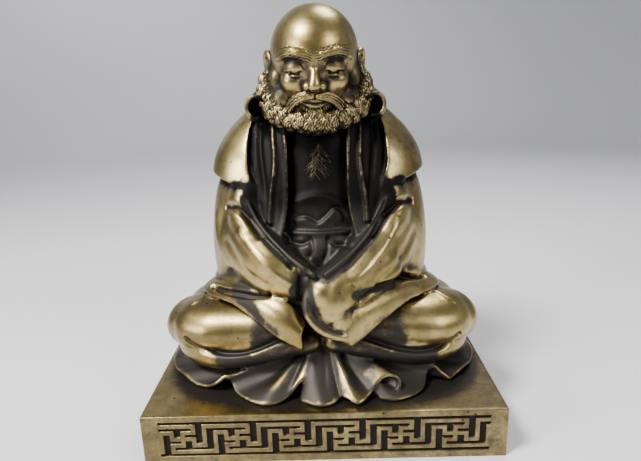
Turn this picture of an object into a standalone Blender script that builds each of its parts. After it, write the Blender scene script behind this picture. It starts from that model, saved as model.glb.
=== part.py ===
"""A cast brass statue of a bearded monk, seated with the hands in the sleeves, on a plinth with a fret band.

The figure is blocked out from lofts, balls and cloth sheets, fused into one skin and carved with strokes.
Its sizes are in parts of its height.
"""

import math

import bmesh
import bpy
import numpy as np
from mathutils import Euler, Matrix, Vector
from mathutils.bvhtree import BVHTree

# Driving sizes, in metres
PLINTH_WIDTH = 0.190
PLINTH_DEPTH = 0.140
PLINTH_HEIGHT = 0.028
FIGURE_HEIGHT = 0.203
SEAT_GAP = 0.0003

FRET_MARGIN = 0.010
FRET_REPEATS = 6
FRET_ROWS = 5
FRET_PITCH = 0.00378
FRET_RIDGE = 0.0023
FRET_DEPTH = 0.0012
FRET_LIFT = 0.0008

# The figure is drawn 203 parts high, x to its left, y to its back, z up from its seat
PARTS_HIGH = 203.0
PART = FIGURE_HEIGHT / PARTS_HIGH

# Grain of the sculpting, in parts, and the faces that are kept
BODY_VOXEL = 1.1
HEAD_VOXEL = 0.8
FIGURE_TRIANGLES = 8600

# Thickness of the cloth and radius of its edges, in parts
SKIRT_THICK = 1.7
SLEEVE_THICK = 3
MANTLE_THICK = 5
LAPEL_THICK = 10
HOOD_THICK = 2.2
HEM_RADIUS = 1.25
LAPEL_EDGE_RADIUS = 1.2
SLEEVE_RIM_RADIUS = 1.6

# Spacing and depth of the beard's strands, in parts
STRAND_SPACING = 1.4
STRAND_DEPTH = 0.1

# The skirt's reach on the plinth to its sides and its back, and how high its hem lies and ripples
SKIRT_REACH_X = 91
SKIRT_REACH_Y = 57
HEM_LOW = 2.6
HEM_RIPPLE = 2.0
# Steps along the hem from the top of a pleat that rolls over, of a plain one, and of a point on a lobe
ROLLED = (
    (-11, -5, -7.2), (-7.5, -2.6, -3.6), (-4, -0.8, -0.8), (0, 0, 0), (4.2, -0.4, -1.4), (5.5, -1.4, -4.4),
    (4, -2.8, -7.3), (0.2, -4.4, -9.4), (-4, -6, -9.8),
)
PLAIN = ((-4.3, -0.8, -2.8), (0, 0, 0), (3.5, 0.2, -3.2))
LOBE = ((0, 0, 0),)
# Lobes and pleats of the hem across the front, each with its place
HEM_FRONT = (
    (LOBE, -64, -44.5, 3.2), (PLAIN, -53.5, -46.5, 10), (LOBE, -47, -51, 3), (LOBE, -40, -57.5, 2.4),
    (LOBE, -32, -62, 2.4), (LOBE, -25, -61.5, 2.4), (ROLLED, -7.5, -52.3, 11.6), (LOBE, -8, -61.5, 2.2),
    (LOBE, -1.5, -64.5, 2.4), (LOBE, 5, -62.5, 2.4), (LOBE, 9, -58, 3.4), (LOBE, 12.5, -60.5, 4.4),
    (LOBE, 18.5, -64, 3), (ROLLED, 35.5, -53.2, 12.2), (LOBE, 37.5, -60.8, 2.2), (LOBE, 43, -59.5, 2.4),
    (LOBE, 49, -56, 2.4), (LOBE, 54, -50.5, 3.4), (PLAIN, 61.5, -41.5, 10), (LOBE, 70, -42, 3),
)
# Soft folds between the pleats, from the lap to the hem: x at the hem, height and half width
SKIRT_FOLDS = (
    (-53.5, 2.2, 3.4), (-44, -1.6, 5), (-33, 1.5, 4), (-24, -1.8, 4), (-9, 3.2, 4.5), (1, -2.0, 3.5),
    (9, -2.6, 2.4), (16, 1.8, 3), (25, -1.8, 3), (36, 3.0, 4.5), (46, -1.6, 4.5), (61.5, 2.2, 3.4),
    (74, -1.2, 5),
)

# Edges of the cloth on one side, as x, y, z: the lapels over the chest and the sleeve's inner rim
OUTER_LAPEL_EDGE = [(24, -8, 147), (23.5, -16.5, 138), (22.8, -24.5, 122), (25, -30, 106), (26, -33.5, 92)]
INNER_LAPEL_EDGE = [(18, -11, 148), (17, -19, 136), (16.5, -25.5, 120), (17, -31, 101), (20, -35, 86)]
SLEEVE_RIM = [
    (38, -27, 103), (33.5, -34, 95), (26, -40.5, 86), (17, -47.5, 78.5), (9, -53, 73.5), (3, -56, 70),
]

# The head's middle, and how far it bows, in degrees
HEAD_MIDDLE = (0, -12, 174)
HEAD_BOW = 12

# The beard's mass from ear to ear: x, y, z, the radius across and the radius up
BEARD = [
    (-22.5, 1, -6, 2.2, 3), (-25.5, -3, -13, 4.2, 5.5), (-23.5, -8, -20.5, 5.6, 6), (-16.5, -13, -25, 6, 6),
    (-7, -16.5, -27.5, 6.4, 6), (0, -17.5, -28, 6.6, 6), (7, -16.5, -27.5, 6.4, 6), (16.5, -13, -25, 6, 6),
    (23.5, -8, -20.5, 5.6, 6), (25.5, -3, -13, 4.2, 5.5), (22.5, 1, -6, 2.2, 3),
]
# Rows of curls round the beard: degrees up from its front, how many, and their size
CURL_ROWS = (
    (-98, 15, 2.3), (-75, 17, 2.6), (-48, 21, 3.0), (-20, 23, 3.1), (8, 23, 3.0), (36, 21, 2.7),
    (62, 17, 2.2),
)


def spline(rows, count):
    """Count rows at even steps on one smooth curve through the given rows."""
    rows = np.asarray(rows, float)
    ends = np.vstack([2 * rows[0] - rows[1], rows, 2 * rows[-1] - rows[-2]])
    at = np.linspace(0, len(rows) - 1, count)
    i = np.minimum(at.astype(int), len(rows) - 2)
    t = (at - i)[:, None]
    a, b, c, d = ends[i], ends[i + 1], ends[i + 2], ends[i + 3]
    cubic = (2 * a - 5 * b + 4 * c - d) * t**2 + (3 * b - a - 3 * c + d) * t**3
    return 0.5 * (2 * b + (c - a) * t + cubic)


def add_rings(bm, rings, cap_ends=True):
    """Skins a row of rings, each an array of points, into one closed body."""
    loops = [[bm.verts.new(p) for p in ring] for ring in rings]
    count = len(loops[0])
    for low, high in zip(loops, loops[1:]):
        for k in range(count):
            bm.faces.new((low[k], low[(k + 1) % count], high[(k + 1) % count], high[k]))
    if cap_ends:
        bm.faces.new(loops[0][::-1])
        bm.faces.new(loops[-1])


def add_ball(bm, centre, radii, turn=(0, 0, 0), around=40):
    """An ellipsoid, turned by degrees about x, y and z, or by a matrix."""
    if not isinstance(turn, Matrix):
        turn = Euler([math.radians(v) for v in turn]).to_matrix()
    angle = np.linspace(0, 2 * math.pi, around, endpoint=False)
    rings = []
    for tilt in np.linspace(-1.5, 1.5, around // 2):
        flat = math.cos(tilt) * np.stack([np.cos(angle), np.sin(angle)], axis=1)
        ring = np.column_stack([flat, np.full(around, math.sin(tilt))]) * np.array(radii)
        rings.append(ring @ np.array(turn).T + np.array(centre))
    add_rings(bm, rings)


def add_limb(bm, rows, up=(0, 0, 1), sides=36, steps=28, round_ends=True, square=2.0):
    """A loft along a curve. Each row is x, y, z, the radius across and the radius along up."""
    line = spline(rows, steps)
    centre, across_r, up_r = line[:, :3], line[:, 3], line[:, 4]
    along = np.gradient(centre, axis=0)
    along /= np.linalg.norm(along, axis=1)[:, None]
    across = np.cross(along, up)
    across /= np.linalg.norm(across, axis=1)[:, None]
    upright = np.cross(across, along)
    angle = np.linspace(0, 2 * math.pi, sides, endpoint=False)
    c = np.sign(np.cos(angle)) * np.abs(np.cos(angle)) ** (2 / square)
    s = np.sign(np.sin(angle)) * np.abs(np.sin(angle)) ** (2 / square)
    stations = [(i, 0.0, 1.0) for i in range(steps)]
    if round_ends:
        lean = [math.radians(v) for v in (80, 60, 40, 20)]
        stations = [(0, -math.sin(v), math.cos(v)) for v in lean] + stations
        stations += [(steps - 1, math.sin(v), math.cos(v)) for v in reversed(lean)]
    rings = []
    for i, push, shrink in stations:
        middle = centre[i] + along[i] * push * min(across_r[i], up_r[i])
        ring = middle + shrink * (
            across_r[i] * c[:, None] * across[i] + up_r[i] * s[:, None] * upright[i]
        )
        rings.append(ring)
    add_rings(bm, rings)


def add_sheet(bm, grid, thickness):
    """A closed sheet of cloth under a grid of points, as thick as stated."""
    grid = np.asarray(grid, float)
    du = np.gradient(grid, axis=0)
    dv = np.gradient(grid, axis=1)
    normal = np.cross(du, dv)
    normal /= np.linalg.norm(normal, axis=2)[:, :, None] + 1e-9
    under = grid - normal * thickness
    rings = [np.vstack([row, low[::-1]]) for row, low in zip(grid, under)]
    add_rings(bm, rings)


def block_out_body(bm):
    """The masses of the body under the robe, from the seat up."""
    torso = [
        (0, 8, -4, 62, 42), (0, 8, 20, 60, 42), (0, 7, 45, 54, 39), (0, 7, 70, 47, 38),
        (0, 7, 92, 43, 37), (0, 8, 112, 39, 32), (0, 9, 128, 34, 28), (0, 11, 140, 27, 24),
        (0, 12, 150, 20, 19), (0, 12, 162, 15, 15),
    ]
    add_limb(bm, torso, up=(0, 1, 0), steps=40, round_ends=False)
    seat = [
        (0, 12, -4, 82, 46), (0, 12, 4, 80, 44), (0, 12, 14, 78, 42),
        (0, 12, 28, 68, 39), (0, 12, 40, 54, 34),
    ]
    add_limb(bm, seat, up=(0, 1, 0), steps=20, round_ends=False)
    # the belly over the sash, and the skirt's gathering under the lap
    add_ball(bm, (0, -14, 72), (28, 24, 20))
    add_ball(bm, (0, -31, 19), (27, 9, 9))
    for side in (-1, 1):
        # knee, with the shin folded under it
        knee = [
            (side * 76, -13, 28, 19, 14.5), (side * 68, -17, 29, 23.5, 16.5),
            (side * 56, -20.5, 29.5, 25, 17), (side * 44, -25.5, 30.5, 21.5, 15.8),
            (side * 32, -31, 31.5, 16.5, 13.5), (side * 22, -34, 32, 12, 10.5),
        ]
        add_limb(bm, knee)
        thigh = [
            (side * 60, -14, 27, 26, 17), (side * 63.5, 0, 25.5, 22.5, 18), (side * 62, 14, 24, 22, 18),
            (side * 46, 24, 21, 20, 17), (side * 24, 28, 20, 18, 16),
        ]
        add_limb(bm, thigh)
        shin = [
            (side * 70, 0, 20, 8, 9), (side * 77, -17, 19, 8, 8.5), (side * 73, -29, 18, 7.2, 7.8),
            (side * 61, -37, 17, 7, 7.5),
            (side * 44, -41, 19, 7, 7), (side * 24, -43, 24, 7, 6.5), (side * 6, -43, 27, 7, 6),
        ]
        add_limb(bm, shin)
        # upper arm in its wide sleeve
        upper = [
            (side * 18, 10, 146, 11, 13), (side * 29, 9, 136, 13, 16), (side * 37, 8, 120, 15, 19),
            (side * 42.5, 6, 102, 17.5, 23), (side * 44.5, 2, 82, 18.5, 25), (side * 45, 0, 64, 18, 25),
            (side * 45, -1, 52, 16.5, 22),
        ]
        add_limb(bm, upper, up=(0, 1, 0))
        # forearm, coming in to the lap, the right one under the left
        fore = [
            (side * 45, -4, 82, 15, 22), (side * 37, -20, 75, 16, 21), (side * 25, -35, 68, 14.5, 17),
            (side * 14, -43 - 1.5 * side, 62.5, 11.5 + side, 13 + side),
            (side * 3, -46 - 3 * side, 57, 10 + 2 * side, 11 + 2 * side),
        ]
        add_limb(bm, fore)
        # the sleeve's fullness in the crook of the arm
        crook = [
            (side * 33, -2, 120, 9, 16), (side * 37, -8, 108, 12, 18), (side * 38, -14, 94, 14, 17),
            (side * 34, -22, 80, 14, 17),
        ]
        add_limb(bm, crook, up=(0, 1, 0))
        add_ball(bm, (side * 30, -14, 103), (10, 13, 14))
        # cloth gathered at the elbow
        roll = [
            (side * 44, 22, 51, 6, 5), (side * 55, 12, 51.5, 6.5, 5), (side * 57.5, -4, 52.5, 6.5, 5),
            (side * 50, -19, 55, 6, 5.5), (side * 38, -30, 58, 5, 6),
        ]
        add_limb(bm, roll)


def sleeve_hanging(side, high_end, tip):
    """The hanging edge of a sleeve, as a grid from its crease under the arm to its free edge."""
    crease = [
        (28, 34, 37), (44, 31, 43), (55, 12, 47.5), (54, -9, 51), (45, -22, 54), (34, -33, 54.5),
        (25, -42, 54), *high_end,
    ]
    free = [
        (30, 38, 27), (54, 34, 35), (67, 13, 40.5), (69, -8, 44.5), (60, -24, 46.8), (47, -35, 46.8),
        (34, -45, 42), (23, -51.5, 35.5), tip,
    ]
    high, low = spline(crease, 60), spline(free, 60)
    grid = []
    for t in np.linspace(0, 1, 9):
        row = high + (low - high) * t
        swell = 3.2 * math.sin(math.pi * t)
        row = row + swell * np.array([0.15, -0.75, 0.65])
        grid.append(row * np.array([side, 1, 1]))
    grid = np.array(grid).transpose(1, 0, 2)
    return grid if side < 0 else grid[:, ::-1]


def hem_line():
    """The skirt's hem: rippled round the back and the sides, then lobe by lobe across the front."""
    side = []
    for k, turn in enumerate(np.radians(np.linspace(91, 221, 13))):
        c, s = math.cos(turn), math.sin(turn)
        x = SKIRT_REACH_X * math.copysign(abs(c) ** 0.83, c)
        y = SKIRT_REACH_Y * math.copysign(abs(s) ** 0.83, s)
        side.append((x, y, HEM_LOW + HEM_RIPPLE * (k % 2)))
    front = []
    for shape, x, y, z in HEM_FRONT:
        front += [(x + dx, y + dy, z + dz) for dx, dy, dz in shape]
    return side + front + [(-x, y, z) for x, y, z in reversed(side)]


def skirt_sheet():
    """The skirt spread on the plinth, as a grid from its gathering at the lap to its hem."""
    hem = spline(hem_line(), 560) - np.array([0, 0, 2])
    front = np.clip((-10 - hem[:, 1]) / 26, 0, 1)[:, None]
    gathered = hem * np.array([0.22, 0, 0])
    gathered[:, 1] = -36
    gathered[:, 2] = 14 + 15 * np.exp(-(hem[:, 0] / 34) ** 2)
    tucked = hem * np.array([0.66, 0.58, 0]) + np.array([0, 0, 17])
    front = front * front * (3 - 2 * front)
    lap = tucked + (gathered - tucked) * front
    fold = sum(high * np.exp(-(((hem[:, 0] - foot) / wide) ** 2)) for foot, high, wide in SKIRT_FOLDS)
    rows = []
    for t in np.linspace(0, 1, 26):
        row = lap + (hem - lap) * t
        row[:, 2] = lap[:, 2] + (hem[:, 2] - lap[:, 2]) * t**0.85
        row[:, 2] += fold * front[:, 0] * math.sin(math.pi * t**0.7)
        rows.append(row)
    return np.array(rows).transpose(1, 0, 2)


def mantle_sheet():
    """The mantle, from its front edge round one arm, across the back and round the other."""
    # height, half width, depth to the front and to the back, middle y, x of the front edge
    rows = spline([
        (159, 24, 11, 16, 13, 20), (153, 34, 17, 20, 12, 28), (146, 43, 24, 24, 11, 33.5),
        (138, 51, 29, 28, 9.5, 37), (130, 56.5, 33, 31.5, 8, 38), (123, 59.6, 35, 34, 7, 37.5),
        (116, 61, 37, 37, 6, 34),
    ], 40)
    power = 2 / 2.5
    grid = []
    for row, (z, wide, fore, aft, cy, edge) in enumerate(rows):
        first = math.acos((edge / wide) ** (1 / power))
        turn = np.linspace(-first, math.pi + first, 121)
        c, s = np.cos(turn), np.sin(turn)
        x = wide * np.sign(c) * np.abs(c) ** power
        y = cy + np.where(s > 0, aft, fore) * np.sign(s) * np.abs(s) ** power
        front = np.clip(-s, 0, 1) / math.sin(first)
        drop = (row / 39) ** 3 * (14 * np.clip(s, 0, 1) ** 2 + 8 * front**2)
        grid.append(np.stack([x, y, z - drop], axis=1))
    return np.array(grid)


def one_side(rows, side, radius):
    """Limb rows of an even radius along an edge, on the figure's left or right."""
    return [(side * x, y, z, radius, radius) for x, y, z in rows]


def add_robe(bm, cloth):
    """The cloth layers that lie over the body, at least as thick as cloth."""
    add_sheet(bm, skirt_sheet(), max(SKIRT_THICK, cloth))
    hem = [(x, y, z - HEM_RADIUS, HEM_RADIUS, HEM_RADIUS) for x, y, z in hem_line()]
    add_limb(bm, hem, up=(0.35, 0.3, 0.9), steps=560, sides=10)
    add_sheet(bm, sleeve_hanging(-1, [(16, -48, 50), (10, -52, 41)], (9, -54.5, 29)), SLEEVE_THICK)
    add_sheet(bm, sleeve_hanging(1, [(16, -50, 52), (9, -54, 44)], (14, -56.5, 31)), SLEEVE_THICK)
    # the left cuff is full, and lies over the right one
    cuff = [
        (30, -33, 68, 15, 15), (18, -42, 62, 14.5, 15), (9, -47.5, 57, 13.5, 14.5), (7, -51, 50, 12, 12),
        (9, -52, 45, 9, 9),
    ]
    add_limb(bm, cuff)
    lip = [
        (-3, -50, 66, 2, 2), (-6.5, -54, 59, 2.6, 2.6), (-6.5, -58, 51, 2.8, 2.8), (-2, -60, 44, 2.8, 2.8),
        (5, -60.5, 39.5, 2.8, 2.8), (11, -59.5, 37, 2.6, 2.6), (14, -57.5, 33, 2, 2),
    ]
    add_limb(bm, lip)
    add_sheet(bm, mantle_sheet(), MANTLE_THICK)
    for side in (-1, 1):
        # outer lapel, between the mantle and the neck, with its thin rolled edge
        outer = [(33, 1, 147), (37, -7, 138), (38, -17, 122), (35, -24, 106), (30, -30, 92)]
        add_sheet(bm, strip(outer, OUTER_LAPEL_EDGE, side), LAPEL_THICK)
        add_limb(bm, one_side(OUTER_LAPEL_EDGE, side, LAPEL_EDGE_RADIUS), sides=16)
        # inner lapel, along the bare chest
        outer = [(26, -7, 147), (26, -14, 138), (26, -21.5, 122), (27, -28, 104), (27, -32, 86)]
        add_sheet(bm, strip(outer, INNER_LAPEL_EDGE, side), LAPEL_THICK)
        add_limb(bm, one_side(INNER_LAPEL_EDGE, side, LAPEL_EDGE_RADIUS), sides=16)
    # the hood lying round the neck, rolled open at its two front ends
    hood = [
        (-32, -8, 151, 5, 6), (-30, 5, 153.5, 7, 7), (-21, 21, 154, 9, 9), (0, 31, 151, 10, 12),
        (21, 21, 154, 9, 9), (30, 5, 153.5, 7, 7), (32, -8, 151, 5, 6),
    ]
    add_ball(bm, (0, 28, 143), (30, 12, 16))
    add_limb(bm, hood)
    for side in (-1, 1):
        add_sheet(bm, hood_end(side), HOOD_THICK)
        # the thin rim inside each sleeve's mouth
        add_limb(bm, one_side(SLEEVE_RIM, side, SLEEVE_RIM_RADIUS), sides=16)
        # the upper sleeve folded over in the crook of the arm
        fold = [
            (side * 44, -6, 105.5, 2.4, 2.4), (side * 44.5, -14, 104.5, 3.2, 3.2),
            (side * 41.5, -20.5, 102.5, 3.4, 3.4), (side * 37, -27, 98.5, 2.8, 2.8),
            (side * 31, -34.5, 90.5, 2.2, 2.2), (side * 23, -42, 82, 1.9, 1.9),
            (side * 15, -48.5, 75.5, 1.5, 1.5),
        ]
        add_limb(bm, fold)


def hood_end(side):
    """One rolled end of the hood, an open curl of cloth facing forward."""
    grid = []
    for y in np.linspace(-23, -2, 10):
        turn = np.radians(np.linspace(30, 300, 40))
        grow = 1 - 0.12 * (y + 23) / 21
        ring = [
            (side * (31.5 - 5.8 * grow * math.cos(t)), y, 151.5 + 7 * grow * math.sin(t) - 0.12 * (y + 23))
            for t in turn
        ]
        grid.append(ring)
    grid = np.array(grid)
    return grid if side < 0 else grid[:, ::-1]


def strip(outer, inner, side):
    """A band of cloth between two lines, as a grid."""
    a, b = spline(outer, 40), spline(inner, 40)
    grid = []
    for t in np.linspace(0, 1, 8):
        row = a + (b - a) * t
        row[:, 1] -= 1.2 * math.sin(math.pi * t)
        grid.append(row * np.array([side, 1, 1]))
    grid = np.array(grid)
    return grid if side > 0 else grid[::-1]


def fuse(bm, name, voxel, smooth_steps):
    """One skin round everything in bm, as an object measured in parts."""
    mesh = bpy.data.meshes.new(name)
    bm.to_mesh(mesh)
    bm.free()
    obj = bpy.data.objects.new(name, mesh)
    bpy.context.scene.collection.objects.link(obj)
    remesh = obj.modifiers.new("one_skin", "REMESH")
    remesh.mode = "VOXEL"
    remesh.voxel_size = voxel
    soften = obj.modifiers.new("soften", "SMOOTH")
    soften.factor = 0.5
    soften.iterations = smooth_steps
    apply_modifiers(obj)
    return obj


def apply_modifiers(obj):
    graph = bpy.context.evaluated_depsgraph_get()
    baked = bpy.data.meshes.new_from_object(obj.evaluated_get(graph))
    obj.modifiers.clear()
    old = obj.data
    obj.data = baked
    bpy.data.meshes.remove(old)


class Clay:
    """The points of a mesh, pushed and pulled by strokes drawn on one view of it."""

    def __init__(self, obj):
        self.obj = obj
        self.mesh = obj.data
        count = len(self.mesh.vertices)
        flat = np.empty(count * 3)
        self.mesh.vertices.foreach_get("co", flat)
        self.at = flat.reshape(count, 3)
        self.refresh()

    def refresh(self):
        """Takes the strokes so far into the mesh, so that the next ones land on them."""
        self.mesh.vertices.foreach_set("co", self.at.ravel())
        self.mesh.update()
        self.obj.update_tag()
        flat = np.empty(len(self.at) * 3)
        self.mesh.vertices.foreach_get("normal", flat)
        self.out = flat.reshape(-1, 3)
        graph = bpy.context.evaluated_depsgraph_get()
        self.surface = BVHTree.FromObject(self.obj, graph)

    def land(self, flat, view, start):
        """Where a point of the view meets the clay, looking in from the start depth, and its normal."""
        axes, facing = looking(view)
        origin = facing * start
        origin[axes] = flat
        origin = Vector(origin)
        for _ in range(6):
            spot, normal, _, _ = self.surface.ray_cast(origin, Vector(-facing))
            if spot is None:
                return None
            if normal.dot(Vector(facing)) > 0:
                return spot, normal
            origin = spot - Vector(facing) * 0.01
        return None

    def near(self, path, view, reach, start):
        """Points near a path laid on the clay: which, how far, on which side, how far along and way out."""
        path = np.asarray(path, float)
        line = spline(path[:, :2], max(8, 10 * (len(path) - 1)))
        spots = [self.land(flat, view, start) for flat in line]
        steps = len(line) - 1
        landed = np.array([spot[0] for spot in spots if spot])
        low, high = landed.min(0) - reach, landed.max(0) + reach
        which = np.nonzero(((self.at >= low) & (self.at <= high)).all(1))[0]
        at = self.at[which]
        best = np.full(len(which), 1e9)
        sign, along, way = np.zeros(len(which)), np.zeros(len(which)), np.zeros((len(which), 3))
        for k in range(steps):
            if not (spots[k] and spots[k + 1]):
                continue
            (a, normal_a), (b, normal_b) = spots[k], spots[k + 1]
            if (b - a).length > 9:
                continue
            a, ab = np.array(a), np.array(b - a)
            t = np.clip(((at - a) @ ab) / (ab @ ab + 1e-9), 0, 1)
            gap = at - a - t[:, None] * ab
            dist = np.linalg.norm(gap, axis=1)
            better = dist < best
            out = np.array((normal_a + normal_b).normalized())
            best = np.where(better, dist, best)
            sign = np.where(better, np.sign(gap @ np.cross(out, ab)), sign)
            along = np.where(better, (k + t) / steps, along)
            way[better] = out
        close = (best < reach) & ((self.out[which] * way).sum(1) > -0.2)
        return which[close], best[close], sign[close], along[close], way[close]

    def press(self, path, width, height, view="front", ends=(0.25, 0.25), start=200):
        """A rounded ridge along a path, or a crease where height is below nothing."""
        which, dist, _, along, way = self.near(path, view, abs(width) * 2.6, start)
        amount = height * np.exp(-((dist / width) ** 2)) * taper(along, ends)
        self.at[which] += way * amount[:, None]

    def lap(self, path, width, height, view="front", ends=(0.2, 0.2), start=200, edge=0.6):
        """Cloth laid over cloth, high on the left of the path and creased along its edge."""
        which, dist, sign, along, way = self.near(path, view, width * 3, start)
        over = dist * sign
        rise = 1 / (1 + np.exp(-over / edge * 3)) * np.exp(-np.maximum(over, 0) / width)
        crease = np.exp(-(((over + 1.2) / 1.4) ** 2)) * 0.55
        amount = height * (rise - crease) * taper(along, ends)
        self.at[which] += way * amount[:, None]

    def dent(self, centre, radius, height):
        """A soft hollow round a point, or a swelling."""
        gap = (self.at - centre) / radius
        amount = height * np.exp(-(gap**2).sum(1))
        self.at += self.out * amount[:, None]


def looking(view):
    """The two axes across a view of the clay, and the way that faces the viewer."""
    front, back = np.array([0.0, -1, 0]), np.array([0.0, 1, 0])
    if view == "top":
        return [0, 1], np.array([0.0, 0, 1])
    if view in ("left", "right"):
        return [1, 2], np.array([1.0 if view == "left" else -1.0, 0, 0])
    return [0, 2], front if view == "front" else back


def taper(along, ends):
    """Fades a stroke in and out over shares of its length."""
    start = np.clip(along / max(ends[0], 1e-6), 0, 1)
    stop = np.clip((1 - along) / max(ends[1], 1e-6), 0, 1)
    return np.sqrt(start * (2 - start) * stop * (2 - stop))


def carve_body(clay):
    """The folds and creases of the robe."""
    # crescents between thigh and shin
    clay.press([(-77, 29), (-66, 23), (-45, 23), (-20, 32)], 1.5, -3.0, ends=(0.12, 0.05))
    clay.press([(77, 27), (66, 21), (48, 22), (22, 31)], 1.5, -3.0, ends=(0.12, 0.05))
    # creases in the crook of each sleeve
    clay.press([(-52, 97.5), (-46, 99.5), (-40, 97), (-35, 91.5), (-30, 85)], 2.0, -3.6, ends=(0.5, 0.6))
    clay.press([(53, 98), (46, 100), (39, 97.5), (33, 91.5), (28, 85)], 2.2, -4.0, ends=(0.5, 0.6))
    # the crease under each forearm
    clay.press([(-63, 52), (-46, 53.5), (-34, 55), (-26, 56)], 1.6, -5.0, ends=(0.1, 0.2))
    clay.press([(60, 54), (47, 58), (38, 59.5), (28, 59), (19, 54)], 1.7, -5.0, ends=(0.3, 0.2))
    # the small folds where the sleeve's edge lies on the knee
    clay.press([(-75, 43), (-66, 46), (-57, 48)], 1.2, 0.9)
    clay.press([(77, 41), (68, 45), (60, 47)], 1.2, 0.9)
    # the lapels' inner folds
    for side in (-1, 1):
        fold = [(side * 31, 146), (side * 31.5, 132), (side * 29.5, 116), (side * 28, 104)]
        clay.press(fold, 1.8, -2.0, ends=(0.3, 0.7))
        # the step under the mantle's front edge
        clay.press([(side * 33, 146), (side * 36, 136), (side * 36.5, 122), (side * 33, 112)], 1.2, -1.8)
    # soft folds down the back
    for x, low, size in (
        (-46, 50, 1.6), (-30, 12, 1.8), (-12, 10, 1.4), (6, 8, 1.6), (25, 12, 1.8), (44, 48, 1.6),
    ):
        clay.press([(x * 0.7, 98), (x * 0.95, 60), (x * 1.25, low)], 5, size, view="back", ends=(0.5, 0.2))
        crease = [(x * 0.7 + 9, 96), (x * 0.95 + 9, 60), (x * 1.25 + 10, low)]
        clay.press(crease, 5, -0.7 * size, view="back", ends=(0.5, 0.4))
    for low, size in ((134, 1.2), (127, -1.2), (120, 1.2), (113, -1.0)):
        swag = [(-48, low + 6), (-24, low - 3), (0, low - 6), (24, low - 3), (48, low + 6)]
        clay.press(swag, 3.4, size, view="back", ends=(0.3, 0.3))
    clay.refresh()
    # soft pulls along the sleeves
    clay.press([(-58, 96), (-57, 80), (-50, 64)], 4, 1.2)
    clay.press([(-44, 88), (-30, 76), (-14, 62)], 3, 1.4)
    clay.press([(-52, 82), (-40, 68), (-26, 61)], 3, -1.4)
    clay.press([(44, 92), (32, 78), (16, 66)], 3.4, 1.4)
    clay.press([(54, 84), (42, 70), (28, 62)], 3, -1.4)
    # the hollow between each sleeve and its rim
    clay.press([(-37, 95), (-29, 86), (-20, 78), (-13, 71)], 1.6, -1.6)
    clay.press([(37, 95), (29, 86), (20, 78), (12, 71)], 1.6, -1.6)
    # the shadow between the left cuff and the right sleeve under it
    clay.press([(-9, 68), (-10.5, 60), (-10.5, 51), (-6, 42)], 1.6, -3.0)
    clay.refresh()
    # cloth rolled over the sash, and the sash's knot
    clay.press([(-15, 100), (0, 104), (15, 99)], 2.6, 1.6)
    clay.lap([(14, 92), (9, 97), (4, 93), (-1, 90), (-7, 93), (-13, 92)], 5, 1.9)
    clay.press([(-21, 85), (0, 84.5), (21, 85)], 1.6, 1.8, ends=(0.05, 0.05))
    clay.press([(-18, 82), (-10, 80), (-4, 83)], 1.4, -1.6)
    clay.press([(4, 83), (10, 79), (18, 81)], 1.4, -1.6)
    clay.press([(-5, 84), (-4, 77), (-7, 71)], 1.2, -1.4)
    clay.press([(5, 84), (4, 76), (2, 71)], 1.2, -1.4)
    clay.refresh()


def make_body(voxel):
    """The seated body in its robe, sculpted, in parts."""
    bm = bmesh.new()
    block_out_body(bm)
    base = fuse(bm, "base", max(voxel, 1), 5)
    bm = bmesh.new()
    bm.from_mesh(base.data)
    bpy.data.objects.remove(base)
    add_robe(bm, 2.2 * voxel)
    body = fuse(bm, "body", voxel, max(2, round(2.2 / voxel)))
    clay = Clay(body)
    carve_body(clay)
    return body


def block_out_head(bm):
    """The bald skull, the face and the mass of the beard."""
    add_ball(bm, (0, 3, 4.5), (23.4, 27, 24))
    add_ball(bm, (0, -4, -6), (19.5, 18.5, 21))
    add_ball(bm, (0, -10, -18), (12.5, 11, 9))
    add_ball(bm, (0, -14.5, -14.5), (9.5, 9, 7))
    for side in (-1, 1):
        add_ball(bm, (side * 10.8, -13.5, -6.5), (7.2, 7.2, 7))
        # whiskers' root, from the ear to the jaw
        add_ball(bm, (side * 20, -3, -8), (4.6, 6.5, 10), (0, side * -8, 0))
        add_ball(bm, (side * 17, -9, -17), (7, 7, 7))
        brow = [
            (side * 18.5, -12, 4, 2.2, 2), (side * 12.5, -18.3, 7.2, 2.6, 2.3),
            (side * 5, -21.3, 6.6, 2.5, 2.2), (side * 1.2, -21.6, 4.4, 2.2, 2),
        ]
        add_limb(bm, brow)
    nose = [
        (0, -19.5, 7, 2.2, 2.2), (0, -21.8, 1, 2.2, 2.4), (0, -25, -4, 2.9, 3), (0, -26.6, -6.8, 3.6, 3.3),
    ]
    add_limb(bm, nose, up=(0, 1, 0))
    add_ball(bm, (0, -18.6, -23.5), (6, 5, 4.5))


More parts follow.
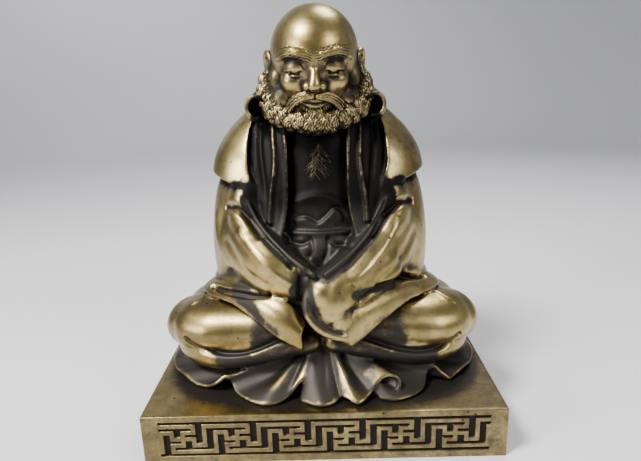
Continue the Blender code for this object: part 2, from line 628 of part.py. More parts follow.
def add_features(bm):
    """Lids, lips, nostrils and ears."""
    for side in (-1, 1):
        eye = (side * 8.4, -15.2, 0.4)
        add_ball(bm, eye, (4.6, 4.6, 4.6))
        for low, high, radius in ((-8, 70, 5.3), (-75, -30, 5.1)):
            grid = [
                [
                    (
                        eye[0] + side * radius * math.sin(math.radians(a)) * math.cos(math.radians(e)) * 1.12,
                        eye[1] - radius * math.cos(math.radians(a)) * math.cos(math.radians(e)),
                        eye[2] + radius * math.sin(math.radians(e)) - 0.0022 * a * a / 10,
                    )
                    for a in np.linspace(-78, 78, 25)
                ]
                for e in np.linspace(low, high, 12)
            ]
            grid = np.array(grid)
            add_sheet(bm, grid if side > 0 else grid[:, ::-1], 1.3)
        add_ball(bm, (side * 3.7, -23.6, -7.8), (2.6, 3, 2.3))
        ear = [
            (side * 21.2, -3, -1, 1.3, 1.3), (side * 23.2, -1, 3, 1.5, 1.5), (side * 25, 3, 4.5, 1.6, 1.6),
            (side * 26, 6.5, 1, 1.6, 1.6), (side * 25.4, 6, -6, 1.6, 1.6), (side * 24, 2.5, -11.5, 1.7, 1.7),
            (side * 23.2, -0.5, -15, 1.9, 1.9), (side * 22.2, -2.5, -12.5, 1.5, 1.5),
            (side * 21.6, -3, -7, 1.3, 1.3),
        ]
        add_limb(bm, ear, up=(1, 0, 0), steps=48, sides=16)
        add_ball(bm, (side * 22.2, 2, -3.5), (2, 5, 7.5), (0, 0, side * 12))
        inner = [
            (side * 23.2, -0.5, -0.5, 1, 1), (side * 24.6, 3, 0.2, 1.1, 1.1),
            (side * 24.4, 3.6, -5, 1.1, 1.1), (side * 23.2, 0.5, -8.5, 1, 1),
        ]
        add_limb(bm, inner, up=(1, 0, 0), sides=16)
    add_ball(bm, (0, -25, -8.8), (1.7, 2.4, 1.4))
    upper = [
        (-7.2, -19.8, -15.9, 0.7, 0.7), (-3.2, -22.6, -14.9, 1.2, 1.1), (0, -23.2, -15.2, 1.1, 1),
        (3.2, -22.6, -14.9, 1.2, 1.1), (7.2, -19.8, -15.9, 0.7, 0.7),
    ]
    add_limb(bm, upper, sides=16)
    lower = [
        (-6.4, -19.8, -16.7, 0.7, 0.7), (-3, -22, -17.4, 1.4, 1.3), (0, -22.8, -17.7, 1.6, 1.5),
        (3, -22, -17.4, 1.4, 1.3), (6.4, -19.8, -16.7, 0.7, 0.7),
    ]
    add_limb(bm, lower, sides=16)


def hair_locks():
    """The long locks of the moustache and brows, as limb rows."""
    locks = []
    for side in (-1, 1):
        for lift, droop in ((0.9, 0.0), (-0.3, 1.6), (-1.3, 3.4)):
            locks.append([
                (side * 1.3, -24.4, -12.6 + 0.4 * lift, 1.0, 1.0),
                (side * 5.5, -23.6, -12.7 + lift, 1.5, 1.3),
                (side * 10.2, -21.2, -14.6 + lift - 0.3 * droop, 1.3, 1.2),
                (side * 14.2, -18.4, -18.0 + 0.5 * lift - droop, 0.8, 0.8),
            ])
        for lift in (0.0, 1.2):
            locks.append([
                (side * 3.6, -23.0, 6.4 + lift, 0.8, 0.8), (side * 8.5, -22.2, 7.6 + lift, 1.2, 1.1),
                (side * 13, -19.2, 7.8 + lift, 1.1, 1.0), (side * 17.5, -14.6, 5.4 + 1.4 * lift, 0.6, 0.6),
            ])
    return locks


def hair_curls(along_locks=False):
    """The beard's curls: centre, way out, way of growth, size and bend. Along the locks too, where asked."""
    rng = np.random.default_rng(5)
    line = spline(BEARD, 200)
    curls = []
    for r, (lean, count, size) in enumerate(CURL_ROWS):
        for k in range(count):
            share = (k + 0.5 * (r % 2) + rng.uniform(-0.25, 0.25)) / (count - 0.5)
            x, y, z, across, up_r = line[int(np.clip(share, 0, 1) * 199)]
            outward = Vector((x * 0.9, y * 0.9 - 3, 0)).normalized()
            a = math.radians(lean + rng.uniform(-7, 7))
            out = outward * math.cos(a) + Vector((0, 0, -math.sin(a)))
            centre = Vector((x, y, z)) + Vector((out.x * across, out.y * across, out.z * up_r)) * 0.86
            turn = rng.uniform(-0.8, 0.8) + 0.5 * x / 25
            grow = Vector((x * 0.02, 0, -1)) + out.cross(Vector((0, 0, 1))) * turn
            bend = rng.uniform(3.5, 8) * (1 if rng.random() < 0.5 else -1)
            curls.append((centre, out, grow, size * rng.uniform(0.85, 1.2), bend))
    if along_locks:
        for lock in hair_locks():
            rows = spline(lock, 7)
            for row, ahead in zip(rows, rows[1:]):
                out = Vector((row[0] * 0.4, -6, 1.5)).normalized()
                curls.append((Vector(row[:3]), out, Vector(ahead[:3] - row[:3]), 2.2, 30))
    for x, z, size in ((-2.2, -21.5, 2), (2.2, -21.5, 2), (0, -22.5, 2.3), (-4.5, -24, 2.4), (4.5, -24, 2.4)):
        bend = 7 if x < 0 else -7
        curls.append((Vector((x, -21, z)), Vector((0, -1, 0)), Vector((x * 0.1, 0, -1)), size, bend))
    return curls


def add_beard(bm):
    """A full curly beard from ear to ear, with a moustache and brows."""
    add_limb(bm, BEARD, steps=60)
    for lock in hair_locks():
        add_limb(bm, lock, up=(0, 1, 0.2), sides=12, steps=16)
    for centre, out, grow, size, bend in hair_curls():
        turned = out.to_track_quat("Z", "Y").to_matrix()
        add_ball(bm, centre, (size, size, size * 0.8), turned, around=16)


def comb_hair(clay, spacing, depth):
    """Strands drawn through every curl, each set an arc that bends its own way."""
    near = np.full(len(clay.at), 1.25)
    amount = np.zeros(len(clay.at))
    for centre, out, grow, size, bend in hair_curls(along_locks=True):
        grow = (grow - out * grow.dot(out)).normalized()
        across = out.cross(grow)
        gap = clay.at - np.array(centre)
        reach = np.linalg.norm(gap, axis=1) / size
        nearer = np.nonzero(reach < near)[0]
        near[nearer] = reach[nearer]
        u = gap[nearer] @ np.array(across) - bend
        v = gap[nearer] @ np.array(grow)
        strand = (np.hypot(u, v) + 0.18 * np.sin(v * 2.4)) / spacing
        amount[nearer] = np.abs(np.cos(math.pi * strand)) ** 0.7 - 0.62
    clay.at += clay.out * (depth * amount)[:, None]
    clay.refresh()


def carve_face(clay):
    for side in (-1, 1):
        clay.dent(np.array([side * 2.0, -26.0, -9.9]), 1.1, -1.3)
    clay.refresh()


def make_head(voxel, strand_spacing, strand_depth):
    """The bowed head, in parts, in its place on the body."""
    bm = bmesh.new()
    block_out_head(bm)
    base = fuse(bm, "skull", 0.8, 14)
    clay = Clay(base)
    for side in (-1, 1):
        clay.dent(np.array([side * 8.8, -19, 0.6]), np.array([5.6, 5, 4.2]), -3.0)
        clay.dent(np.array([side * 17, -13, 0]), np.array([5, 6, 6]), -1.0)
    clay.dent(np.array([0, -22, -12]), np.array([2, 3, 2.4]), -0.6)
    clay.refresh()
    bm = bmesh.new()
    bm.from_mesh(base.data)
    bpy.data.objects.remove(base)
    add_features(bm)
    add_beard(bm)
    head = fuse(bm, "head", voxel, max(1, round(0.9 / voxel)))
    clay = Clay(head)
    carve_face(clay)
    comb_hair(clay, strand_spacing, strand_depth)
    head.data.transform(Matrix.Rotation(math.radians(HEAD_BOW), 4, "X"))
    head.data.transform(Matrix.Translation(HEAD_MIDDLE))
    return head


def cut_flat(bm, height):
    """Cuts everything below a level plane away and closes the cut."""
    geometry = bm.verts[:] + bm.edges[:] + bm.faces[:]
    bmesh.ops.bisect_plane(
        bm, geom=geometry, plane_co=(0, 0, height), plane_no=(0, 0, 1), clear_inner=True
    )
    open_edges = [e for e in bm.edges if e.is_boundary]
    bmesh.ops.triangle_fill(bm, use_beauty=True, use_dissolve=False, edges=open_edges, normal=(0, 0, -1))
    bmesh.ops.recalc_face_normals(bm, faces=bm.faces[:])


def ease_crossings(bm, rounds=20):
    """Relaxes the points of faces that cross, until none do."""
    for _ in range(rounds):
        bm.faces.ensure_lookup_table()
        bm.verts.index_update()
        tree = BVHTree.FromBMesh(bm, epsilon=0)
        held = {}
        for a, b in tree.overlap(tree):
            first, second = bm.faces[a].verts[:], bm.faces[b].verts[:]
            if not set(first) & set(second):
                held.update({vert.index: vert for vert in first + second})
        if not held:
            return
        near = dict(held)
        for vert in held.values():
            near.update({e.other_vert(vert).index: e.other_vert(vert) for e in vert.link_edges})
        verts = [near[index] for index in sorted(near)]
        bmesh.ops.smooth_vert(bm, verts=verts, factor=0.5, use_axis_x=True, use_axis_y=True, use_axis_z=True)


def make_figure():
    body = make_body(BODY_VOXEL)
    head = make_head(HEAD_VOXEL, STRAND_SPACING, STRAND_DEPTH)
    bm = bmesh.new()
    bm.from_mesh(body.data)
    bm.from_mesh(head.data)
    bpy.data.objects.remove(body)
    bpy.data.objects.remove(head)
    figure = fuse(bm, "figure", BODY_VOXEL, 2)
    thin = figure.modifiers.new("thin", "DECIMATE")
    thin.ratio = FIGURE_TRIANGLES / (2 * len(figure.data.polygons))
    apply_modifiers(figure)
    bm = bmesh.new()
    bm.from_mesh(figure.data)
    ease_crossings(bm)
    cut_flat(bm, 0)
    bm.to_mesh(figure.data)
    bm.free()
    figure.data.transform(Matrix.Diagonal((PART, PART, PART, 1)))
    figure.location = (0, 0, PLINTH_HEIGHT + SEAT_GAP)
    give_material(figure, "cast_brass", (0.35, 0.26, 0.12), 0.38)
    return figure


def fret_ridges():
    """The raised cells of the fret band, as column and row numbers on a grid of half pitches."""
    unit = [
        [(0, 1), (0, 3)],
        [(0, 1), (1, 1), (1, 0), (-3, 0), (-3, 3), (-4, 3), (-4, 2), (-5, 2)],
        [(-1, 2), (1, 2)],
        [(0, 3), (-1, 3), (-1, 4), (3, 4), (3, 1), (4, 1), (4, 2), (5, 2)],
    ]
    cells = set()
    for repeat in range(-1, FRET_REPEATS + 1):
        for run in unit:
            for (x0, y0), (x1, y1) in zip(run, run[1:]):
                steps = 2 * max(abs(x1 - x0), abs(y1 - y0))
                for k in range(steps + 1):
                    x = 2 * x0 + (2 * x1 - 2 * x0) * k // steps
                    y = 2 * y0 + (2 * y1 - 2 * y0) * k // steps
                    cells.add((x + 10 * repeat, y))
    return cells


def make_plinth():
    """A block with a recessed fret band across its front."""
    columns = 5 * FRET_REPEATS
    pitch = (PLINTH_WIDTH - 2 * FRET_MARGIN) / columns
    left = -PLINTH_WIDTH / 2 + FRET_MARGIN
    front = -PLINTH_DEPTH / 2
    half = FRET_RIDGE / 2
    edge_groove = FRET_PITCH - FRET_RIDGE
    middle = PLINTH_HEIGHT / 2 + FRET_LIFT / 2
    top_row = middle + FRET_PITCH * (FRET_ROWS - 1) / 2
    # lines of the grid across and down the front face
    xs = [-PLINTH_WIDTH / 2]
    for c in range(columns + 1):
        xs += [left + c * pitch - half, left + c * pitch + half]
    xs.append(PLINTH_WIDTH / 2)
    zs = [PLINTH_HEIGHT, top_row + half + edge_groove]
    for r in range(FRET_ROWS):
        zs += [top_row - r * FRET_PITCH + half, top_row - r * FRET_PITCH - half]
    zs += [zs[-1] - edge_groove, 0]
    raised = fret_ridges()

    def depth(i, j):
        """How deep cell i across, j down is cut. The outermost cells are the plain margins."""
        if i <= 1 or i >= len(xs) - 3 or j == 0 or j == len(zs) - 2:
            return 0.0
        return 0.0 if (i - 1 - 4, j - 2) in raised else FRET_DEPTH

    bm = bmesh.new()
    made = {}

    def corner(i, j, deep):
        key = (i, j, deep > 0)
        if key not in made:
            made[key] = bm.verts.new((xs[i], front + deep, zs[j]))
        return made[key]

    for i in range(len(xs) - 1):
        for j in range(len(zs) - 1):
            d = depth(i, j)
            bm.faces.new([corner(i, j, d), corner(i, j + 1, d), corner(i + 1, j + 1, d), corner(i + 1, j, d)])
            if i + 2 < len(xs) and depth(i + 1, j) != d:
                e = depth(i + 1, j)
                near, far = (i + 1, j), (i + 1, j + 1)
                bm.faces.new([corner(*near, d), corner(*far, d), corner(*far, e), corner(*near, e)])
            if j + 2 < len(zs) and depth(i, j + 1) != d:
                e = depth(i, j + 1)
                near, far = (i, j + 1), (i + 1, j + 1)
                bm.faces.new([corner(*near, d), corner(*near, e), corner(*far, e), corner(*far, d)])
    back = PLINTH_DEPTH / 2
    last_i, last_j = len(xs) - 1, len(zs) - 1
    far = {
        (i, j): bm.verts.new((xs[i], back, zs[j])) for i in (0, last_i) for j in (0, last_j)
    }
    bm.faces.new([far[0, 0], far[last_i, 0], far[last_i, last_j], far[0, last_j]])
    bm.faces.new([far[0, 0]] + [corner(i, 0, 0) for i in range(last_i + 1)] + [far[last_i, 0]])
    bm.faces.new([far[0, last_j]] + [corner(i, last_j, 0) for i in range(last_i + 1)] + [far[last_i, last_j]])
    bm.faces.new([far[0, 0]] + [corner(0, j, 0) for j in range(last_j + 1)] + [far[0, last_j]])
    bm.faces.new([far[last_i, 0]] + [corner(last_i, j, 0) for j in range(last_j + 1)] + [far[last_i, last_j]])
    bmesh.ops.recalc_face_normals(bm, faces=bm.faces[:])
    bmesh.ops.dissolve_limit(bm, angle_limit=0.01, verts=bm.verts[:], edges=bm.edges[:])
    bmesh.ops.triangulate(bm, faces=bm.faces[:])
    mesh = bpy.data.meshes.new("plinth")
    bm.to_mesh(mesh)
    bm.free()
    plinth = bpy.data.objects.new("plinth", mesh)
    bpy.context.scene.collection.objects.link(plinth)
    give_material(plinth, "dark_cast_brass", (0.30, 0.23, 0.12), 0.42)
    return plinth


def give_material(obj, name, colour, roughness):
    material = bpy.data.materials.new(name)
    material.use_nodes = True
    shader = material.node_tree.nodes["Principled BSDF"]
    shader.inputs["Base Color"].default_value = (*colour, 1)
    shader.inputs["Metallic"].default_value = 1
    shader.inputs["Roughness"].default_value = roughness
    obj.data.materials.append(material)


def main():
    for obj in list(bpy.data.objects):
        bpy.data.objects.remove(obj)
    make_plinth()
    make_figure()


if __name__ == "__main__":
    main()
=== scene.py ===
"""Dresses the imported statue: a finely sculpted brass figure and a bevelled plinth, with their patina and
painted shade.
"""

import math

import bmesh
import bpy
import numpy as np
from mathutils import Euler, Matrix, Vector
from mathutils.bvhtree import BVHTree


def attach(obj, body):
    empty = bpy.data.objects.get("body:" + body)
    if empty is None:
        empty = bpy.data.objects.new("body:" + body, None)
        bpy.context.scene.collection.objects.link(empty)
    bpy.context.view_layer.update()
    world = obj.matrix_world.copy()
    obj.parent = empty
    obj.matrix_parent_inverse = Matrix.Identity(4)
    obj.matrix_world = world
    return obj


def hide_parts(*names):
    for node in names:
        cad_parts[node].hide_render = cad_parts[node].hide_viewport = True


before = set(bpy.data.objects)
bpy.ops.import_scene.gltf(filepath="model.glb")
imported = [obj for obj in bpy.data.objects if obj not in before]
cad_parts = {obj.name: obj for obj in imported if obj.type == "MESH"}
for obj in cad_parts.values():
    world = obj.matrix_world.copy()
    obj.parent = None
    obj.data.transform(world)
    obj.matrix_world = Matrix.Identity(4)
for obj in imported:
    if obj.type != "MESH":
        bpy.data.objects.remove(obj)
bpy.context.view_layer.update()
bpy.ops.object.select_all(action="DESELECT")

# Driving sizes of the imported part, in metres
PLINTH_WIDTH = 0.190
PLINTH_DEPTH = 0.140
PLINTH_HEIGHT = 0.028
FIGURE_HEIGHT = 0.203
SEAT_GAP = 0.0003

FRET_MARGIN = 0.010
FRET_REPEATS = 6
FRET_ROWS = 5
FRET_PITCH = 0.00378
FRET_RIDGE = 0.0023
FRET_DEPTH = 0.0012
FRET_LIFT = 0.0008

# The figure is drawn 203 parts high, x to its left, y to its back, z up from its seat
PARTS_HIGH = 203.0
PART = FIGURE_HEIGHT / PARTS_HIGH

# Grain of the fine sculpting, in parts, and how far each piece is thinned
BODY_VOXEL = 0.8
HEAD_VOXEL = 0.37
PIECE_TRIANGLES = 188000

# Spacing and depth of the beard's strands, in parts
STRAND_SPACING = 1.35
STRAND_DEPTH = 0.42

MM = 0.001

# The plinth: how round its edges are, from what angle on, its patina's grain, and what counts as on its
# front or on a cut, in metres
EDGE_ROUND = 0.35 * MM
SHARP = math.radians(40)
PATINA_GRAIN = 2.6 * MM
FLAT = 1e-5
SNAP = 1e-6

# The camera at the photograph's angle: metres, degrees, and mm of lens and sensor
CAMERA_PLACE = (0.003189, -0.311557, 0.192795)
CAMERA_TURN = (74.41, 1.65, 0.03)
CAMERA_LENS = 30.35
CAMERA_SENSOR = 36

# Floor disc, the curve at its rim and the wall's top, in metres
FLOOR_REACH = 2.2
FLOOR_CURVE = 0.9
WALL_HEIGHT = 2.4
FLOOR_SIDES = 96

# Area lights: name, place, what they face, size, power
LIGHTS = (
    ("key", (-0.85, -0.65, 1.5), (0, 0, 0.1), 0.45, 17), ("fill", (1.1, -0.9, 0.9), (0, 0, 0.1), 0.6, 3),
    ("rim", (0.4, 0.7, 1.5), (0, 0, 0.1), 0.5, 4.5), ("window", (-1.3, -0.85, 0.6), (0, 0, 0.1), 0.5, 6),
    ("backdrop", (-0.5, 0.4, 1.8), (-0.7, 2.2, 0.6), 0.8, 11),
)

# Ways up for a limb, and the sides of the figure that numbers stand for: both, or the one as set
UP = (0, 0, 1)
BACK = (0, 1, 0)
BOTH = (-1, 1)
AS_SET = (1,)

# How far out a stroke starts, and the longest step it takes between two points of the clay, in parts
OUTSIDE = 200
LONGEST_STEP = 9

# Hairs on the chest: those that fork, their radius at root and tip, and how proud they lie, in parts
FORKED_HAIRS = (2, 3, 5, 6, 8)
HAIR_ROOT = 0.21
HAIR_TIP = 0.1
HAIR_LIFT = 0.06

# Thickness of the cloth and radius of its edges, in parts
SKIRT_THICK = 1.7
SLEEVE_THICK = 3
MANTLE_THICK = 5
LAPEL_THICK = 10
HOOD_THICK = 2.2
HEM_RADIUS = 1.25
LAPEL_EDGE_RADIUS = 1.2
SLEEVE_RIM_RADIUS = 1.6

# The skirt's reach on the plinth to its sides and its back, and how high its hem lies and ripples
SKIRT_REACH_X = 91
SKIRT_REACH_Y = 57
HEM_LOW = 2.6
HEM_RIPPLE = 2.0

# Steps along the hem from the top of a pleat that rolls over, of a plain one, and of a point on a lobe
ROLLED = (
    (-11, -5, -7.2), (-7.5, -2.6, -3.6), (-4, -0.8, -0.8), (0, 0, 0), (4.2, -0.4, -1.4), (5.5, -1.4, -4.4),
    (4, -2.8, -7.3), (0.2, -4.4, -9.4), (-4, -6, -9.8),
)
PLAIN = ((-4.3, -0.8, -2.8), (0, 0, 0), (3.5, 0.2, -3.2))
LOBE = ((0, 0, 0),)

# Lobes and pleats of the hem across the front, each with its place
HEM_FRONT = (
    (LOBE, -64, -44.5, 3.2), (PLAIN, -53.5, -46.5, 10), (LOBE, -47, -51, 3), (LOBE, -40, -57.5, 2.4),
    (LOBE, -32, -62, 2.4), (LOBE, -25, -61.5, 2.4), (ROLLED, -7.5, -52.3, 11.6), (LOBE, -8, -61.5, 2.2),
    (LOBE, -1.5, -64.5, 2.4), (LOBE, 5, -62.5, 2.4), (LOBE, 9, -58, 3.4), (LOBE, 12.5, -60.5, 4.4),
    (LOBE, 18.5, -64, 3), (ROLLED, 35.5, -53.2, 12.2), (LOBE, 37.5, -60.8, 2.2), (LOBE, 43, -59.5, 2.4),
    (LOBE, 49, -56, 2.4), (LOBE, 54, -50.5, 3.4), (PLAIN, 61.5, -41.5, 10), (LOBE, 70, -42, 3),
)

# Soft folds between the pleats, from the lap to the hem: x at the hem, height and half width
SKIRT_FOLDS = (
    (-53.5, 2.2, 3.4), (-44, -1.6, 5), (-33, 1.5, 4), (-24, -1.8, 4), (-9, 3.2, 4.5), (1, -2.0, 3.5),
    (9, -2.6, 2.4), (16, 1.8, 3), (25, -1.8, 3), (36, 3.0, 4.5), (46, -1.6, 4.5), (61.5, 2.2, 3.4),
    (74, -1.2, 5),
)

# Edges of the cloth on one side, as x, y, z: the lapels over the chest and the sleeve's inner rim
OUTER_LAPEL_EDGE = [(24, -8, 147), (23.5, -16.5, 138), (22.8, -24.5, 122), (25, -30, 106), (26, -33.5, 92)]
INNER_LAPEL_EDGE = [(18, -11, 148), (17, -19, 136), (16.5, -25.5, 120), (17, -31, 101), (20, -35, 86)]
SLEEVE_RIM = [
    (38, -27, 103), (33.5, -34, 95), (26, -40.5, 86), (17, -47.5, 78.5), (9, -53, 73.5), (3, -56, 70),
]

# The head's middle, and how far it bows, in degrees
HEAD_MIDDLE = (0, -12, 174)
HEAD_BOW = 12

# The beard's mass from ear to ear: x, y, z, the radius across and the radius up
BEARD = [
    (-22.5, 1, -6, 2.2, 3), (-25.5, -3, -13, 4.2, 5.5), (-23.5, -8, -20.5, 5.6, 6), (-16.5, -13, -25, 6, 6),
    (-7, -16.5, -27.5, 6.4, 6), (0, -17.5, -28, 6.6, 6), (7, -16.5, -27.5, 6.4, 6), (16.5, -13, -25, 6, 6),
    (23.5, -8, -20.5, 5.6, 6), (25.5, -3, -13, 4.2, 5.5), (22.5, 1, -6, 2.2, 3),
]

# Rows of curls round the beard: degrees up from its front, how many, and their size
CURL_ROWS = (
    (-98, 15, 2.3), (-75, 17, 2.6), (-48, 21, 3.0), (-20, 23, 3.1), (8, 23, 3.0), (36, 21, 2.7),
    (62, 17, 2.2),
)


def pick(obj):
    """Makes obj the only selected and active object."""
    bpy.ops.object.select_all(action="DESELECT")
    obj.select_set(True)
    bpy.context.view_layer.objects.active = obj


def finish_modifier(obj, kind, **settings):
    """Adds one modifier to obj and applies it."""
    pick(obj)
    modifier = obj.modifiers.new(kind.lower(), kind)
    for name, value in settings.items():
        setattr(modifier, name, value)
    bpy.ops.object.modifier_apply(modifier=modifier.name)


def new_object(bm, name):
    """Turns bm into an object."""
    mesh = bpy.data.meshes.new(name)
    bm.to_mesh(mesh)
    bm.free()
    obj = bpy.data.objects.new(name, mesh)
    bpy.context.scene.collection.objects.link(obj)
    return obj


def fuse(bm, name, voxel, smooth_steps):
    """One skin round everything in bm, as an object measured in parts."""
    obj = new_object(bm, name)
    finish_modifier(obj, "REMESH", mode="VOXEL", voxel_size=voxel)
    finish_modifier(obj, "SMOOTH", factor=0.5, iterations=smooth_steps)
    return obj


def spline(rows, count):
    """Count rows at even steps on one smooth curve through the given rows."""
    rows = np.asarray(rows, float)
    ends = np.vstack([2 * rows[0] - rows[1], rows, 2 * rows[-1] - rows[-2]])
    at = np.linspace(0, len(rows) - 1, count)
    i = np.minimum(at.astype(int), len(rows) - 2)
    t = (at - i)[:, None]
    a, b, c, d = ends[i], ends[i + 1], ends[i + 2], ends[i + 3]
    cubic = (2 * a - 5 * b + 4 * c - d) * t**2 + (3 * b - a - 3 * c + d) * t**3
    return 0.5 * (2 * b + (c - a) * t + cubic)


def add_rings(bm, rings, cap_ends=True):
    """Skins a row of rings, each an array of points, into one closed body."""
    loops = [[bm.verts.new(p) for p in ring] for ring in rings]
    count = len(loops[0])
    for low, high in zip(loops, loops[1:]):
        for k in range(count):
            bm.faces.new((low[k], low[(k + 1) % count], high[(k + 1) % count], high[k]))
    if cap_ends:
        bm.faces.new(loops[0][::-1])
        bm.faces.new(loops[-1])


def add_ball(bm, centre, radii, turn=(0, 0, 0), around=40):
    """An ellipsoid, turned by degrees about x, y and z, or by a matrix."""
    if not isinstance(turn, Matrix):
        turn = Euler([math.radians(v) for v in turn]).to_matrix()
    angle = np.linspace(0, 2 * math.pi, around, endpoint=False)
    rings = []
    for tilt in np.linspace(-1.5, 1.5, around // 2):
        flat = math.cos(tilt) * np.stack([np.cos(angle), np.sin(angle)], axis=1)
        ring = np.column_stack([flat, np.full(around, math.sin(tilt))]) * np.array(radii)
        rings.append(ring @ np.array(turn).T + np.array(centre))
    add_rings(bm, rings)


def add_limb(bm, rows, up=UP, sides=36, steps=28, round_ends=True):
    """A loft along a curve. Each row is x, y, z, the radius across and, where it differs, along up."""
    line = spline(rows, steps)
    centre, across_r, up_r = line[:, :3], line[:, 3], line[:, -1]
    along = np.gradient(centre, axis=0)
    along /= np.linalg.norm(along, axis=1)[:, None]
    across = np.cross(along, up)
    across /= np.linalg.norm(across, axis=1)[:, None]
    upright = np.cross(across, along)
    angle = np.linspace(0, 2 * math.pi, sides, endpoint=False)
    c, s = np.cos(angle)[:, None], np.sin(angle)[:, None]
    stations = [(i, 0.0, 1.0) for i in range(steps)]
    if round_ends:
        lean = [math.radians(v) for v in (80, 60, 40, 20)]
        stations = [(0, -math.sin(v), math.cos(v)) for v in lean] + stations
        stations += [(steps - 1, math.sin(v), math.cos(v)) for v in reversed(lean)]
    rings = []
    for i, push, shrink in stations:
        middle = centre[i] + along[i] * push * min(across_r[i], up_r[i])
        rings.append(middle + shrink * (across_r[i] * c * across[i] + up_r[i] * s * upright[i]))
    add_rings(bm, rings)


def add_sheet(bm, grid, thickness):
    """A closed sheet of cloth under a grid of points, as thick as stated."""
    grid = np.asarray(grid, float)
    du = np.gradient(grid, axis=0)
    dv = np.gradient(grid, axis=1)
    normal = np.cross(du, dv)
    normal /= np.linalg.norm(normal, axis=2)[:, :, None] + 1e-9
    under = grid - normal * thickness
    rings = [np.vstack([row, low[::-1]]) for row, low in zip(grid, under)]
    add_rings(bm, rings)


def mirrored(rows, side):
    """Limb rows as they are on the figure's left, for side 1, or on its right, for side -1."""
    return [(side * x, *rest) for x, *rest in rows]


def one_side(rows, side, radius):
    """Limb rows of an even radius along an edge, on the figure's left or right."""
    return [(side * x, y, z, radius) for x, y, z in rows]


def block_out_body(bm):
    """The masses of the body under the robe, from the seat up."""
    torso = [
        (0, 8, -4, 62, 42), (0, 8, 20, 60, 42), (0, 7, 45, 54, 39), (0, 7, 70, 47, 38), (0, 7, 92, 43, 37),
        (0, 8, 112, 39, 32), (0, 9, 128, 34, 28), (0, 11, 140, 27, 24), (0, 12, 150, 20, 19),
        (0, 12, 162, 15, 15),
    ]
    add_limb(bm, torso, up=BACK, steps=40, round_ends=False)
    seat = [
        (0, 12, -4, 82, 46), (0, 12, 4, 80, 44), (0, 12, 14, 78, 42), (0, 12, 28, 68, 39),
        (0, 12, 40, 54, 34),
    ]
    add_limb(bm, seat, up=BACK, steps=20, round_ends=False)
    # the belly over the sash, and the skirt's gathering under the lap
    add_ball(bm, (0, -14, 72), (28, 24, 20))
    add_ball(bm, (0, -31, 19), (27, 9, 9))
    knee = [
        (76, -13, 28, 19, 14.5), (68, -17, 29, 23.5, 16.5), (56, -20.5, 29.5, 25, 17),
        (44, -25.5, 30.5, 21.5, 15.8), (32, -31, 31.5, 16.5, 13.5), (22, -34, 32, 12, 10.5),
    ]
    thigh = [
        (60, -14, 27, 26, 17), (63.5, 0, 25.5, 22.5, 18), (62, 14, 24, 22, 18), (46, 24, 21, 20, 17),
        (24, 28, 20, 18, 16),
    ]
    shin = [
        (70, 0, 20, 8, 9), (77, -17, 19, 8, 8.5), (73, -29, 18, 7.2, 7.8), (61, -37, 17, 7, 7.5),
        (44, -41, 19, 7, 7), (24, -43, 24, 7, 6.5), (6, -43, 27, 7, 6),
    ]
    upper_arm = [
        (18, 10, 146, 11, 13), (29, 9, 136, 13, 16), (37, 8, 120, 15, 19), (42.5, 6, 102, 17.5, 23),
        (44.5, 2, 82, 18.5, 25), (45, 0, 64, 18, 25), (45, -1, 52, 16.5, 22),
    ]
    # the sleeve's fullness in the crook of the arm, and the cloth gathered at the elbow
    crook = [(33, -2, 120, 9, 16), (37, -8, 108, 12, 18), (38, -14, 94, 14, 17), (34, -22, 80, 14, 17)]
    gathered = [
        (44, 22, 51, 6, 5), (55, 12, 51.5, 6.5, 5), (57.5, -4, 52.5, 6.5, 5), (50, -19, 55, 6, 5.5),
        (38, -30, 58, 5, 6),
    ]
    for side in BOTH:
        # coming in to the lap, the right one under the left
        forearm = [
            (45, -4, 82, 15, 22), (37, -20, 75, 16, 21), (25, -35, 68, 14.5, 17),
            (14, -43 - 1.5 * side, 62.5, 11.5 + side, 13 + side),
            (3, -46 - 3 * side, 57, 10 + 2 * side, 11 + 2 * side),
        ]
        for rows, up in (
            (knee, UP), (thigh, UP), (shin, UP), (upper_arm, BACK), (forearm, UP), (crook, BACK),
        ):
            add_limb(bm, mirrored(rows, side), up=up)
        add_ball(bm, (side * 30, -14, 103), (10, 13, 14))
        add_limb(bm, mirrored(gathered, side))


def sleeve_hanging(side, high_end, tip):
    """The hanging edge of a sleeve, as a grid from its crease under the arm to its free edge."""
    crease = [
        (28, 34, 37), (44, 31, 43), (55, 12, 47.5), (54, -9, 51), (45, -22, 54), (34, -33, 54.5),
        (25, -42, 54), *high_end,
    ]
    free = [
        (30, 38, 27), (54, 34, 35), (67, 13, 40.5), (69, -8, 44.5), (60, -24, 46.8), (47, -35, 46.8),
        (34, -45, 42), (23, -51.5, 35.5), tip,
    ]
    high, low = spline(crease, 60), spline(free, 60)
    grid = []
    for t in np.linspace(0, 1, 9):
        row = high + (low - high) * t
        swell = 3.2 * math.sin(math.pi * t)
        row = row + swell * np.array([0.15, -0.75, 0.65])
        grid.append(row * np.array([side, 1, 1]))
    grid = np.array(grid).transpose(1, 0, 2)
    return grid if side < 0 else grid[:, ::-1]


def hem_line():
    """The skirt's hem: rippled round the back and the sides, then lobe by lobe across the front."""
    side = []
    for k, turn in enumerate(np.radians(np.linspace(91, 221, 13))):
        c, s = math.cos(turn), math.sin(turn)
        x = SKIRT_REACH_X * math.copysign(abs(c) ** 0.83, c)
        y = SKIRT_REACH_Y * math.copysign(abs(s) ** 0.83, s)
        side.append((x, y, HEM_LOW + HEM_RIPPLE * (k % 2)))
    front = []
    for shape, x, y, z in HEM_FRONT:
        front += [(x + dx, y + dy, z + dz) for dx, dy, dz in shape]
    return side + front + [(-x, y, z) for x, y, z in reversed(side)]


